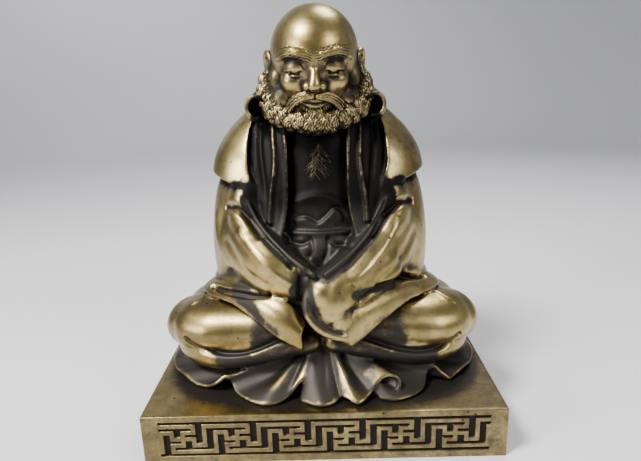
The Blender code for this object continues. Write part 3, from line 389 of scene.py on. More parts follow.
def skirt_sheet():
    """The skirt spread on the plinth, as a grid from its gathering at the lap to its hem."""
    hem = spline(hem_line(), 560) - np.array([0, 0, 2])
    front = np.clip((-10 - hem[:, 1]) / 26, 0, 1)[:, None]
    gathered = hem * np.array([0.22, 0, 0])
    gathered[:, 1] = -36
    gathered[:, 2] = 14 + 15 * np.exp(-(hem[:, 0] / 34) ** 2)
    tucked = hem * np.array([0.66, 0.58, 0]) + np.array([0, 0, 17])
    front = front * front * (3 - 2 * front)
    lap = tucked + (gathered - tucked) * front
    fold = sum(high * np.exp(-(((hem[:, 0] - foot) / wide) ** 2)) for foot, high, wide in SKIRT_FOLDS)
    rows = []
    for t in np.linspace(0, 1, 26):
        row = lap + (hem - lap) * t
        row[:, 2] = lap[:, 2] + (hem[:, 2] - lap[:, 2]) * t**0.85
        row[:, 2] += fold * front[:, 0] * math.sin(math.pi * t**0.7)
        rows.append(row)
    return np.array(rows).transpose(1, 0, 2)


def mantle_sheet():
    """The mantle, from its front edge round one arm, across the back and round the other."""
    # height, half width, depth to the front and to the back, middle y, x of the front edge
    rows = spline([
        (159, 24, 11, 16, 13, 20), (153, 34, 17, 20, 12, 28), (146, 43, 24, 24, 11, 33.5),
        (138, 51, 29, 28, 9.5, 37), (130, 56.5, 33, 31.5, 8, 38), (123, 59.6, 35, 34, 7, 37.5),
        (116, 61, 37, 37, 6, 34),
    ], 40)
    power = 2 / 2.5
    grid = []
    for row, (z, wide, fore, aft, cy, edge) in enumerate(rows):
        first = math.acos((edge / wide) ** (1 / power))
        turn = np.linspace(-first, math.pi + first, 121)
        c, s = np.cos(turn), np.sin(turn)
        x = wide * np.sign(c) * np.abs(c) ** power
        y = cy + np.where(s > 0, aft, fore) * np.sign(s) * np.abs(s) ** power
        front = np.clip(-s, 0, 1) / math.sin(first)
        drop = (row / 39) ** 3 * (14 * np.clip(s, 0, 1) ** 2 + 8 * front**2)
        grid.append(np.stack([x, y, z - drop], axis=1))
    return np.array(grid)


def add_robe(bm, cloth):
    """The cloth layers that lie over the body, at least as thick as cloth."""
    add_sheet(bm, skirt_sheet(), max(SKIRT_THICK, cloth))
    hem = [(x, y, z - HEM_RADIUS, HEM_RADIUS) for x, y, z in hem_line()]
    add_limb(bm, hem, up=(0.35, 0.3, 0.9), steps=560, sides=10)
    add_sheet(bm, sleeve_hanging(-1, [(16, -48, 50), (10, -52, 41)], (9, -54.5, 29)), SLEEVE_THICK)
    add_sheet(bm, sleeve_hanging(1, [(16, -50, 52), (9, -54, 44)], (14, -56.5, 31)), SLEEVE_THICK)
    # the left cuff is full, and lies over the right one, with a thin lip
    cuff = [
        (30, -33, 68, 15, 15), (18, -42, 62, 14.5, 15), (9, -47.5, 57, 13.5, 14.5), (7, -51, 50, 12, 12),
        (9, -52, 45, 9, 9),
    ]
    add_limb(bm, cuff)
    lip = [
        (-3, -50, 66, 2), (-6.5, -54, 59, 2.6), (-6.5, -58, 51, 2.8), (-2, -60, 44, 2.8),
        (5, -60.5, 39.5, 2.8), (11, -59.5, 37, 2.6), (14, -57.5, 33, 2),
    ]
    add_limb(bm, lip)
    add_sheet(bm, mantle_sheet(), MANTLE_THICK)
    # the lapels, one between the mantle and the neck and one along the chest, with thin rolled edges
    for side in BOTH:
        for inner, outer in (
            (OUTER_LAPEL_EDGE, [(33, 1, 147), (37, -7, 138), (38, -17, 122), (35, -24, 106), (30, -30, 92)]),
            (INNER_LAPEL_EDGE, [
                (26, -7, 147), (26, -14, 138), (26, -21.5, 122), (27, -28, 104), (27, -32, 86),
            ]),
        ):
            add_sheet(bm, strip(outer, inner, side), LAPEL_THICK)
            add_limb(bm, one_side(inner, side, LAPEL_EDGE_RADIUS), sides=16)
    # the hood lying round the neck, rolled open at its two front ends
    hood = [
        (-32, -8, 151, 5, 6), (-30, 5, 153.5, 7, 7), (-21, 21, 154, 9, 9), (0, 31, 151, 10, 12),
        (21, 21, 154, 9, 9), (30, 5, 153.5, 7, 7), (32, -8, 151, 5, 6),
    ]
    add_ball(bm, (0, 28, 143), (30, 12, 16))
    add_limb(bm, hood)
    # the upper sleeve folded over in the crook of the arm
    fold = [
        (44, -6, 105.5, 2.4), (44.5, -14, 104.5, 3.2), (41.5, -20.5, 102.5, 3.4), (37, -27, 98.5, 2.8),
        (31, -34.5, 90.5, 2.2), (23, -42, 82, 1.9), (15, -48.5, 75.5, 1.5),
    ]
    for side in BOTH:
        add_sheet(bm, hood_end(side), HOOD_THICK)
        # the thin rim inside each sleeve's mouth
        add_limb(bm, one_side(SLEEVE_RIM, side, SLEEVE_RIM_RADIUS), sides=16)
        add_limb(bm, mirrored(fold, side))


def hood_end(side):
    """One rolled end of the hood, an open curl of cloth facing forward."""
    grid = []
    for y in np.linspace(-23, -2, 10):
        turn = np.radians(np.linspace(30, 300, 40))
        grow = 1 - 0.12 * (y + 23) / 21
        ring = [
            (side * (31.5 - 5.8 * grow * math.cos(t)), y, 151.5 + 7 * grow * math.sin(t) - 0.12 * (y + 23))
            for t in turn
        ]
        grid.append(ring)
    grid = np.array(grid)
    return grid if side < 0 else grid[:, ::-1]


def strip(outer, inner, side):
    """A band of cloth between two lines, as a grid."""
    a, b = spline(outer, 40), spline(inner, 40)
    grid = []
    for t in np.linspace(0, 1, 8):
        row = a + (b - a) * t
        row[:, 1] -= 1.2 * math.sin(math.pi * t)
        grid.append(row * np.array([side, 1, 1]))
    grid = np.array(grid)
    return grid if side > 0 else grid[::-1]


class Clay:
    """The points of a mesh, pushed and pulled by strokes drawn on its front or its back."""

    def __init__(self, obj):
        self.obj = obj
        self.mesh = obj.data
        self.at = read_points(self.mesh, "co")
        self.refresh()

    def refresh(self):
        """Takes the strokes so far into the mesh, so that the next ones land on them."""
        self.mesh.vertices.foreach_set("co", self.at.ravel())
        self.mesh.update()
        self.obj.update_tag()
        self.out = read_points(self.mesh, "normal")
        self.surface = BVHTree.FromObject(self.obj, bpy.context.evaluated_depsgraph_get())

    def land(self, flat, view="front"):
        """Where a point of a view meets the clay, looking in from outside, and the normal there."""
        facing = Vector((0, -1 if view == "front" else 1, 0))
        origin = facing * OUTSIDE + Vector((flat[0], 0, flat[1]))
        for _ in range(6):
            spot, normal, _, _ = self.surface.ray_cast(origin, -facing)
            if spot is None:
                return None
            if normal.dot(facing) > 0:
                return spot, normal
            origin = spot - facing * 0.01
        return None

    def near(self, path, view, reach):
        """Points near a path laid on the clay: which, how far, on which side, how far along and way out."""
        path = np.asarray(path, float)
        spots = [self.land(flat, view) for flat in spline(path, max(8, 10 * (len(path) - 1)))]
        steps = len(spots) - 1
        landed = np.array([spot[0] for spot in spots if spot])
        low, high = landed.min(0) - reach, landed.max(0) + reach
        which = np.nonzero(((self.at >= low) & (self.at <= high)).all(1))[0]
        at = self.at[which]
        best = np.full(len(which), 1e9)
        sign, along, way = np.zeros(len(which)), np.zeros(len(which)), np.zeros((len(which), 3))
        for k in range(steps):
            if not (spots[k] and spots[k + 1]):
                continue
            (a, normal_a), (b, normal_b) = spots[k], spots[k + 1]
            if (b - a).length > LONGEST_STEP:
                continue
            a, ab = np.array(a), np.array(b - a)
            t = np.clip(((at - a) @ ab) / (ab @ ab + 1e-9), 0, 1)
            gap = at - a - t[:, None] * ab
            dist = np.linalg.norm(gap, axis=1)
            better = dist < best
            out = np.array((normal_a + normal_b).normalized())
            best = np.where(better, dist, best)
            sign = np.where(better, np.sign(gap @ np.cross(out, ab)), sign)
            along = np.where(better, (k + t) / steps, along)
            way[better] = out
        close = (best < reach) & ((self.out[which] * way).sum(1) > -0.2)
        return which[close], best[close], sign[close], along[close], way[close]

    def press(self, path, width, height, view="front", ends=(0.25, 0.25)):
        """A rounded ridge along a path, or a crease where height is below nothing."""
        which, dist, _, along, way = self.near(path, view, width * 2.6)
        amount = height * np.exp(-((dist / width) ** 2)) * taper(along, ends)
        self.at[which] += way * amount[:, None]

    def lap(self, path, width, height):
        """Cloth laid over cloth, high on the left of the path and creased along its edge."""
        which, dist, sign, along, way = self.near(path, "front", width * 3)
        over = dist * sign
        rise = 1 / (1 + np.exp(-over * 5)) * np.exp(-np.maximum(over, 0) / width)
        crease = np.exp(-(((over + 1.2) / 1.4) ** 2)) * 0.55
        amount = height * (rise - crease) * taper(along, (0.2, 0.2))
        self.at[which] += way * amount[:, None]

    def dent(self, centre, radius, height):
        """A soft hollow round a point, or a swelling."""
        gap = (self.at - centre) / radius
        amount = height * np.exp(-(gap**2).sum(1))
        self.at += self.out * amount[:, None]


def taper(along, ends):
    """Fades a stroke in and out over shares of its length."""
    start = np.clip(along / max(ends[0], 1e-6), 0, 1)
    stop = np.clip((1 - along) / max(ends[1], 1e-6), 0, 1)
    return np.sqrt(start * (2 - start) * stop * (2 - stop))


def carve_body(clay):
    """The folds and creases of the robe."""
    # crescents between thigh and shin
    clay.press([(-77, 29), (-66, 23), (-45, 23), (-20, 32)], 1.5, -3.0, ends=(0.12, 0.05))
    clay.press([(77, 27), (66, 21), (48, 22), (22, 31)], 1.5, -3.0, ends=(0.12, 0.05))
    # creases in the crook of each sleeve
    clay.press([(-52, 97.5), (-46, 99.5), (-40, 97), (-35, 91.5), (-30, 85)], 2.0, -3.6, ends=(0.5, 0.6))
    clay.press([(53, 98), (46, 100), (39, 97.5), (33, 91.5), (28, 85)], 2.2, -4.0, ends=(0.5, 0.6))
    # the crease under each forearm
    clay.press([(-63, 52), (-46, 53.5), (-34, 55), (-26, 56)], 1.6, -5.0, ends=(0.1, 0.2))
    clay.press([(60, 54), (47, 58), (38, 59.5), (28, 59), (19, 54)], 1.7, -5.0, ends=(0.3, 0.2))
    # the small folds where the sleeve's edge lies on the knee
    clay.press([(-75, 43), (-66, 46), (-57, 48)], 1.2, 0.9)
    clay.press([(77, 41), (68, 45), (60, 47)], 1.2, 0.9)
    # the lapels' inner folds
    for side in BOTH:
        fold = [(side * 31, 146), (side * 31.5, 132), (side * 29.5, 116), (side * 28, 104)]
        clay.press(fold, 1.8, -2.0, ends=(0.3, 0.7))
        # the step under the mantle's front edge
        clay.press([(side * 33, 146), (side * 36, 136), (side * 36.5, 122), (side * 33, 112)], 1.2, -1.8)
    # soft folds down the back
    for x, low, size in (
        (-46, 50, 1.6), (-30, 12, 1.8), (-12, 10, 1.4), (6, 8, 1.6), (25, 12, 1.8), (44, 48, 1.6),
    ):
        clay.press([(x * 0.7, 98), (x * 0.95, 60), (x * 1.25, low)], 5, size, view="back", ends=(0.5, 0.2))
        crease = [(x * 0.7 + 9, 96), (x * 0.95 + 9, 60), (x * 1.25 + 10, low)]
        clay.press(crease, 5, -0.7 * size, view="back", ends=(0.5, 0.4))
    for low, size in ((134, 1.2), (127, -1.2), (120, 1.2), (113, -1.0)):
        swag = [(-48, low + 6), (-24, low - 3), (0, low - 6), (24, low - 3), (48, low + 6)]
        clay.press(swag, 3.4, size, view="back", ends=(0.3, 0.3))
    clay.refresh()
    # soft pulls along the sleeves
    clay.press([(-58, 96), (-57, 80), (-50, 64)], 4, 1.2)
    clay.press([(-44, 88), (-30, 76), (-14, 62)], 3, 1.4)
    clay.press([(-52, 82), (-40, 68), (-26, 61)], 3, -1.4)
    clay.press([(44, 92), (32, 78), (16, 66)], 3.4, 1.4)
    clay.press([(54, 84), (42, 70), (28, 62)], 3, -1.4)
    # the hollow between each sleeve and its rim
    clay.press([(-37, 95), (-29, 86), (-20, 78), (-13, 71)], 1.6, -1.6)
    clay.press([(37, 95), (29, 86), (20, 78), (12, 71)], 1.6, -1.6)
    # the shadow between the left cuff and the right sleeve under it
    clay.press([(-9, 68), (-10.5, 60), (-10.5, 51), (-6, 42)], 1.6, -3.0)
    clay.refresh()
    # cloth rolled over the sash, and the sash's knot
    clay.press([(-15, 100), (0, 104), (15, 99)], 2.6, 1.6)
    clay.lap([(14, 92), (9, 97), (4, 93), (-1, 90), (-7, 93), (-13, 92)], 5, 1.9)
    clay.press([(-21, 85), (0, 84.5), (21, 85)], 1.6, 1.8, ends=(0.05, 0.05))
    clay.press([(-18, 82), (-10, 80), (-4, 83)], 1.4, -1.6)
    clay.press([(4, 83), (10, 79), (18, 81)], 1.4, -1.6)
    clay.press([(-5, 84), (-4, 77), (-7, 71)], 1.2, -1.4)
    clay.press([(5, 84), (4, 76), (2, 71)], 1.2, -1.4)
    clay.refresh()


def make_body(voxel):
    """The seated body in its robe, sculpted, in parts."""
    bm = bmesh.new()
    block_out_body(bm)
    base = fuse(bm, "base", max(voxel, 1), 5)
    bm = bmesh.new()
    bm.from_mesh(base.data)
    bpy.data.objects.remove(base)
    add_robe(bm, 2.2 * voxel)
    body = fuse(bm, "body", voxel, max(2, round(2.2 / voxel)))
    clay = Clay(body)
    carve_body(clay)
    return body


def block_out_head(bm):
    """The bald skull, the face and the mass of the beard."""
    add_ball(bm, (0, 3, 4.5), (23.4, 27, 24))
    add_ball(bm, (0, -4, -6), (19.5, 18.5, 21))
    add_ball(bm, (0, -10, -18), (12.5, 11, 9))
    add_ball(bm, (0, -14.5, -14.5), (9.5, 9, 7))
    for side in BOTH:
        add_ball(bm, (side * 10.8, -13.5, -6.5), (7.2, 7.2, 7))
        # whiskers' root, from the ear to the jaw
        add_ball(bm, (side * 20, -3, -8), (4.6, 6.5, 10), (0, side * -8, 0))
        add_ball(bm, (side * 17, -9, -17), (7, 7, 7))
        brow = [
            (18.5, -12, 4, 2.2, 2), (12.5, -18.3, 7.2, 2.6, 2.3), (5, -21.3, 6.6, 2.5, 2.2),
            (1.2, -21.6, 4.4, 2.2, 2),
        ]
        add_limb(bm, mirrored(brow, side))
    nose = [
        (0, -19.5, 7, 2.2, 2.2), (0, -21.8, 1, 2.2, 2.4), (0, -25, -4, 2.9, 3), (0, -26.6, -6.8, 3.6, 3.3),
    ]
    add_limb(bm, nose, up=BACK)
    add_ball(bm, (0, -18.6, -23.5), (6, 5, 4.5))


def add_features(bm):
    """Lids, lips, nostrils and ears."""
    for side in BOTH:
        eye = (side * 8.4, -15.2, 0.4)
        add_ball(bm, eye, (4.6, 4.6, 4.6))
        for low, high, radius in ((-8, 70, 5.3), (-75, -30, 5.1)):
            grid = [
                [
                    (
                        eye[0] + side * radius * math.sin(math.radians(a)) * math.cos(math.radians(e)) * 1.12,
                        eye[1] - radius * math.cos(math.radians(a)) * math.cos(math.radians(e)),
                        eye[2] + radius * math.sin(math.radians(e)) - 0.0022 * a * a / 10,
                    )
                    for a in np.linspace(-78, 78, 25)
                ]
                for e in np.linspace(low, high, 12)
            ]
            grid = np.array(grid)
            add_sheet(bm, grid if side > 0 else grid[:, ::-1], 1.3)
        add_ball(bm, (side * 3.7, -23.6, -7.8), (2.6, 3, 2.3))
        ear = [
            (21.2, -3, -1, 1.3), (23.2, -1, 3, 1.5), (25, 3, 4.5, 1.6), (26, 6.5, 1, 1.6), (25.4, 6, -6, 1.6),
            (24, 2.5, -11.5, 1.7), (23.2, -0.5, -15, 1.9), (22.2, -2.5, -12.5, 1.5), (21.6, -3, -7, 1.3),
        ]
        add_limb(bm, mirrored(ear, side), up=(1, 0, 0), steps=48, sides=16)
        add_ball(bm, (side * 22.2, 2, -3.5), (2, 5, 7.5), (0, 0, side * 12))
        inner = [(23.2, -0.5, -0.5, 1), (24.6, 3, 0.2, 1.1), (24.4, 3.6, -5, 1.1), (23.2, 0.5, -8.5, 1)]
        add_limb(bm, mirrored(inner, side), up=(1, 0, 0), sides=16)
    add_ball(bm, (0, -25, -8.8), (1.7, 2.4, 1.4))
    upper = [
        (-7.2, -19.8, -15.9, 0.7, 0.7), (-3.2, -22.6, -14.9, 1.2, 1.1), (0, -23.2, -15.2, 1.1, 1),
        (3.2, -22.6, -14.9, 1.2, 1.1), (7.2, -19.8, -15.9, 0.7, 0.7),
    ]
    add_limb(bm, upper, sides=16)
    lower = [
        (-6.4, -19.8, -16.7, 0.7, 0.7), (-3, -22, -17.4, 1.4, 1.3), (0, -22.8, -17.7, 1.6, 1.5),
        (3, -22, -17.4, 1.4, 1.3), (6.4, -19.8, -16.7, 0.7, 0.7),
    ]
    add_limb(bm, lower, sides=16)


def hair_locks():
    """The long locks of the moustache and brows, as limb rows."""
    locks = []
    for side in BOTH:
        for lift, droop in ((0.9, 0.0), (-0.3, 1.6), (-1.3, 3.4)):
            locks.append([
                (side * 1.3, -24.4, -12.6 + 0.4 * lift, 1.0, 1.0),
                (side * 5.5, -23.6, -12.7 + lift, 1.5, 1.3),
                (side * 10.2, -21.2, -14.6 + lift - 0.3 * droop, 1.3, 1.2),
                (side * 14.2, -18.4, -18.0 + 0.5 * lift - droop, 0.8, 0.8),
            ])
        for lift in (0.0, 1.2):
            locks.append([
                (side * 3.6, -23.0, 6.4 + lift, 0.8, 0.8), (side * 8.5, -22.2, 7.6 + lift, 1.2, 1.1),
                (side * 13, -19.2, 7.8 + lift, 1.1, 1.0), (side * 17.5, -14.6, 5.4 + 1.4 * lift, 0.6, 0.6),
            ])
    return locks


def hair_curls(along_locks=False):
    """The beard's curls: centre, way out, way of growth, size and bend. Along the locks too, where asked."""
    rng = np.random.default_rng(5)
    line = spline(BEARD, 200)
    curls = []
    for r, (lean, count, size) in enumerate(CURL_ROWS):
        for k in range(count):
            share = (k + 0.5 * (r % 2) + rng.uniform(-0.25, 0.25)) / (count - 0.5)
            x, y, z, across, up_r = line[int(np.clip(share, 0, 1) * 199)]
            outward = Vector((x * 0.9, y * 0.9 - 3, 0)).normalized()
            a = math.radians(lean + rng.uniform(-7, 7))
            out = outward * math.cos(a) + Vector((0, 0, -math.sin(a)))
            centre = Vector((x, y, z)) + Vector((out.x * across, out.y * across, out.z * up_r)) * 0.86
            turn = rng.uniform(-0.8, 0.8) + 0.5 * x / 25
            grow = Vector((x * 0.02, 0, -1)) + out.cross(Vector((0, 0, 1))) * turn
            bend = rng.uniform(3.5, 8) * (1 if rng.random() < 0.5 else -1)
            curls.append((centre, out, grow, size * rng.uniform(0.85, 1.2), bend))
    if along_locks:
        for lock in hair_locks():
            rows = spline(lock, 7)
            for row, ahead in zip(rows, rows[1:]):
                out = Vector((row[0] * 0.4, -6, 1.5)).normalized()
                curls.append((Vector(row[:3]), out, Vector(ahead[:3] - row[:3]), 2.2, 30))
    for x, z, size in ((-2.2, -21.5, 2), (2.2, -21.5, 2), (0, -22.5, 2.3), (-4.5, -24, 2.4), (4.5, -24, 2.4)):
        bend = 7 if x < 0 else -7
        curls.append((Vector((x, -21, z)), Vector((0, -1, 0)), Vector((x * 0.1, 0, -1)), size, bend))
    return curls


def add_beard(bm):
    """A full curly beard from ear to ear, with a moustache and brows."""
    add_limb(bm, BEARD, steps=60)
    for lock in hair_locks():
        add_limb(bm, lock, up=(0, 1, 0.2), sides=12, steps=16)
    for centre, out, grow, size, bend in hair_curls():
        turned = out.to_track_quat("Z", "Y").to_matrix()
        add_ball(bm, centre, (size, size, size * 0.8), turned, around=16)


def comb_hair(clay):
    """Strands drawn through every curl, each set an arc that bends its own way."""
    near = np.full(len(clay.at), 1.25)
    amount = np.zeros(len(clay.at))
    for centre, out, grow, size, bend in hair_curls(along_locks=True):
        grow = (grow - out * grow.dot(out)).normalized()
        across = out.cross(grow)
        gap = clay.at - np.array(centre)
        reach = np.linalg.norm(gap, axis=1) / size
        nearer = np.nonzero(reach < near)[0]
        near[nearer] = reach[nearer]
        u = gap[nearer] @ np.array(across) - bend
        v = gap[nearer] @ np.array(grow)
        strand = (np.hypot(u, v) + 0.18 * np.sin(v * 2.4)) / STRAND_SPACING
        amount[nearer] = np.abs(np.cos(math.pi * strand)) ** 0.7 - 0.62
    clay.at += clay.out * (STRAND_DEPTH * amount)[:, None]
    clay.refresh()


def carve_face(clay):
    """The nostrils."""
    for side in BOTH:
        clay.dent(np.array([side * 2.0, -26.0, -9.9]), 1.1, -1.3)
    clay.refresh()


def bowed_head():
    """Bows the head and sets it on the body."""
    return Matrix.Translation(HEAD_MIDDLE) @ Matrix.Rotation(math.radians(HEAD_BOW), 4, "X")


def make_head(voxel):
    """The bowed head, in parts, in its place on the body."""
    bm = bmesh.new()
    block_out_head(bm)
    base = fuse(bm, "skull", 0.8, 14)
    clay = Clay(base)
    for side in BOTH:
        clay.dent(np.array([side * 8.8, -19, 0.6]), np.array([5.6, 5, 4.2]), -3.0)
        clay.dent(np.array([side * 17, -13, 0]), np.array([5, 6, 6]), -1.0)
    clay.dent(np.array([0, -22, -12]), np.array([2, 3, 2.4]), -0.6)
    clay.refresh()
    bm = bmesh.new()
    bm.from_mesh(base.data)
    bpy.data.objects.remove(base)
    add_features(bm)
    add_beard(bm)
    head = fuse(bm, "head", voxel, max(1, round(0.9 / voxel)))
    clay = Clay(head)
    carve_face(clay)
    comb_hair(clay)
    head.data.transform(bowed_head())
    return head


def fret_ridges():
    """The raised cells of the fret band, as column and row numbers on a grid of half pitches."""
    unit = [
        [(0, 1), (0, 3)],
        [(0, 1), (1, 1), (1, 0), (-3, 0), (-3, 3), (-4, 3), (-4, 2), (-5, 2)],
        [(-1, 2), (1, 2)],
        [(0, 3), (-1, 3), (-1, 4), (3, 4), (3, 1), (4, 1), (4, 2), (5, 2)],
    ]
    cells = set()
    for repeat in range(-1, FRET_REPEATS + 1):
        for run in unit:
            for (x0, y0), (x1, y1) in zip(run, run[1:]):
                steps = 2 * max(abs(x1 - x0), abs(y1 - y0))
                for k in range(steps + 1):
                    x = 2 * x0 + (2 * x1 - 2 * x0) * k // steps
                    y = 2 * y0 + (2 * y1 - 2 * y0) * k // steps
                    cells.add((x + 10 * repeat, y))
    return cells


def make_plinth():
    """The block: a cube with its edges rounded, and the fret band's ground pushed into its front."""
    columns = 5 * FRET_REPEATS
    pitch = (PLINTH_WIDTH - 2 * FRET_MARGIN) / columns
    left = -PLINTH_WIDTH / 2 + FRET_MARGIN
    half = FRET_RIDGE / 2
    edge_groove = FRET_PITCH - FRET_RIDGE
    middle = PLINTH_HEIGHT / 2 + FRET_LIFT / 2
    top_row = middle + FRET_PITCH * (FRET_ROWS - 1) / 2
    bottom_row = middle - FRET_PITCH * (FRET_ROWS - 1) / 2
    xs = [left + c * pitch + step for c in range(columns + 1) for step in (-half, half)]
    zs = [top_row - r * FRET_PITCH + step for r in range(FRET_ROWS) for step in (half, -half)]
    zs = [top_row + half + edge_groove, *zs, bottom_row - half - edge_groove]
    bpy.ops.mesh.primitive_cube_add(size=1, location=(0, 0, PLINTH_HEIGHT / 2))
    plinth = bpy.context.active_object
    plinth.name = "plinth_block"
    plinth.scale = (PLINTH_WIDTH, PLINTH_DEPTH, PLINTH_HEIGHT)
    bpy.ops.object.transform_apply(location=True, rotation=False, scale=True)
    # rule the fret's grid on the front face, then push in the cells between the ridges
    bm = bmesh.new()
    bm.from_mesh(plinth.data)
    front = -PLINTH_DEPTH / 2 + FLAT
    for axis, places in ((0, xs), (2, zs)):
        for place in places:
            faces = [f for f in bm.faces if f.calc_center_median().y < front]
            edges = {e for f in faces for e in f.edges}
            points = {v for f in faces for v in f.verts}
            rule(bm, [*faces, *edges, *points], axis, place)
    raised = fret_ridges()
    ground = []
    for face in bm.faces:
        c = face.calc_center_median()
        if c.y > front or not (xs[0] < c.x < xs[-1] and zs[-1] < c.z < zs[0]):
            continue
        column = sum(x < c.x for x in xs) - 5
        row = sum(z > c.z for z in zs) - 2
        if (column, row) not in raised:
            ground.append(face)
    pushed = bmesh.ops.extrude_face_region(bm, geom=ground)["geom"]
    sunk = [g for g in pushed if isinstance(g, bmesh.types.BMVert)]
    bmesh.ops.translate(bm, vec=(0, FRET_DEPTH, 0), verts=sunk)
    bmesh.ops.delete(bm, geom=ground, context="FACES")
    bmesh.ops.recalc_face_normals(bm, faces=bm.faces[:])
    bmesh.ops.dissolve_limit(bm, angle_limit=0.01, verts=bm.verts[:], edges=bm.edges[:])
    bm.to_mesh(plinth.data)
    bm.free()
    finish_modifier(plinth, "BEVEL", width=EDGE_ROUND, segments=3, limit_method="ANGLE", angle_limit=SHARP)
    # rule the whole block finely, so that its patina can follow the surface
    bm = bmesh.new()
    bm.from_mesh(plinth.data)
    for axis, size in ((0, PLINTH_WIDTH), (1, PLINTH_DEPTH), (2, PLINTH_HEIGHT)):
        count = round(size / PATINA_GRAIN)
        low = 0 if axis == 2 else -size / 2
        for k in range(1, count):
            rule(bm, bm.verts[:] + bm.edges[:] + bm.faces[:], axis, low + size * k / count, SNAP)
    bm.to_mesh(plinth.data)
    bm.free()
    finish_modifier(plinth, "TRIANGULATE")
    bpy.ops.object.shade_smooth_by_angle(angle=math.radians(35))
    return plinth


def rule(bm, geometry, axis, place, snap=0):
    """Cuts the geometry along a flat plane, square to an axis, save where it has points within snap of it."""
    at, facing = [0, 0, 0], [0, 0, 0]
    at[axis], facing[axis] = place, 1
    bmesh.ops.bisect_plane(bm, geom=geometry, dist=snap, plane_co=at, plane_no=facing)


def plinth_finish(mesh):
    """Dark round the figure and in the fret's ground, rubbed bright at the corners, the rim and the front."""
    at, out = read_points(mesh, "co") / MM, read_points(mesh, "normal")
    x, y, z = at.T
    top = edge_of(0.5, 0.9, out[:, 2])
    facing_front = edge_of(0.3, 0.8, -out[:, 1])
    ground = edge_of(-69.6, -69.2, y) * facing_front * (y < -60)
    round_figure = (np.abs(x / 91) ** 3 + np.abs((y - 2) / 68) ** 3) ** (1 / 3)
    shade = edge_of(1.06, 0.93, round_figure)
    walls = (1 - top) * edge_of(0, 20, y + 66) * 0.17
    on_top = top * (0.06 + 0.3 * edge_of(10, 80, x) + 0.74 * shade)
    patina_and_shade = np.clip(on_top + ground + walls + facing_front * 0.27, 0, 1)
    return patina_and_shade, np.clip(0.75 - 0.5 * ground, 0, 1)


def thin_out(obj):
    """Brings a sculpted piece down to its share of triangles, smooth shaded."""
    share = PIECE_TRIANGLES / (2 * len(obj.data.polygons))
    if share < 1:
        finish_modifier(obj, "DECIMATE", ratio=share)
    pick(obj)
    bpy.ops.object.shade_smooth()


def spread(mesh, values, rounds):
    """Values averaged over the mesh's edges, a few times."""
    count = len(mesh.vertices)
    ends = np.empty(len(mesh.edges) * 2, np.int64)
    mesh.edges.foreach_get("vertices", ends)
    a, b = ends[0::2], ends[1::2]
    near = np.bincount(a, minlength=count) + np.bincount(b, minlength=count)
    for _ in range(rounds):
        total = np.bincount(a, values[b], count) + np.bincount(b, values[a], count)
        values = 0.5 * values + 0.5 * total / np.maximum(near, 1)
    return values


def hollows(mesh, rounds):
    """How far each point lies below its softened surroundings, above nothing in a hollow."""
    at = read_points(mesh, "co")
    out = read_points(mesh, "normal")
    soft = np.stack([spread(mesh, at[:, k], rounds) for k in range(3)], axis=1)
    return ((soft - at) * out).sum(1)


def read_points(mesh, name):
    """The places or normals of a mesh's points, a row for each."""
    flat = np.empty(len(mesh.vertices) * 3)
    mesh.vertices.foreach_get(name, flat)
    return flat.reshape(-1, 3)


def write_attribute(mesh, name, values):
    """Keeps one value for each point under a name that the material reads."""
    attribute = mesh.attributes.new(name, "FLOAT", "POINT")
    attribute.data.foreach_set("value", np.ascontiguousarray(values, np.float32))


def edge_of(low, high, values):
    """Rises smoothly from 0 at low to 1 at high."""
    t = np.clip((values - low) / (high - low), 0, 1)
    return t * t * (3 - 2 * t)


def blots(at, rows):
    """The strongest of several blots. A row is a place, its radii, its blur, its weight and its sides."""
    found = np.zeros(len(at))
    for (x, y, z), radii, blur, weight, sides in rows:
        for side in sides:
            far = np.sqrt((((at - np.array((side * x, y, z))) / np.array(radii)) ** 2).sum(1))
            found = np.maximum(found, weight * np.clip((1 + blur - far) / (2 * blur), 0, 1))
    return found


def off_path(at, rows, side):
    """How far each point is from a smooth curve through the rows, on one side of the figure."""
    line = spline(rows, 12 * len(rows)) * np.array([side, 1, 1])
    best = np.full(len(at), 1e9)
    for spot in line:
        best = np.minimum(best, ((at - spot) ** 2).sum(1))
    return np.sqrt(best)


def stripes(at, rows):
    """The strongest of several stripes. A row is a path, its reach, its core, its weight and its sides."""
    found = np.zeros(len(at))
    for path, start, full, weight, sides in rows:
        for side in sides:
            found = np.maximum(found, weight * edge_of(start, full, off_path(at, path, side)))
    return found


# Half width of the dark chest between the mantle's edges, by height
CHEST_HEIGHTS = (66, 72, 80, 88, 98, 104, 111, 114, 122, 138, 152, 158)
CHEST_WIDTHS = (1, 7, 17, 27, 36, 40, 40, 37, 38.5, 37.5, 33, 30)

# Dark rims of the sleeves, with the fold and the slit in the crook of each arm
RIM_STRIPES = (
    (SLEEVE_RIM, 5.6, 3.6, 1, BOTH),
    ([(41, -21, 104), (37, -27, 99.5), (31, -34.5, 91.5), (23, -42, 83), (15, -48.5, 76)], 5.4, 3, 1, BOTH),
    ([(48, -16, 98.8), (44, -20, 99.3), (40, -23, 98), (35, -29, 93)], 3.4, 1.2, 0.9, BOTH),
)
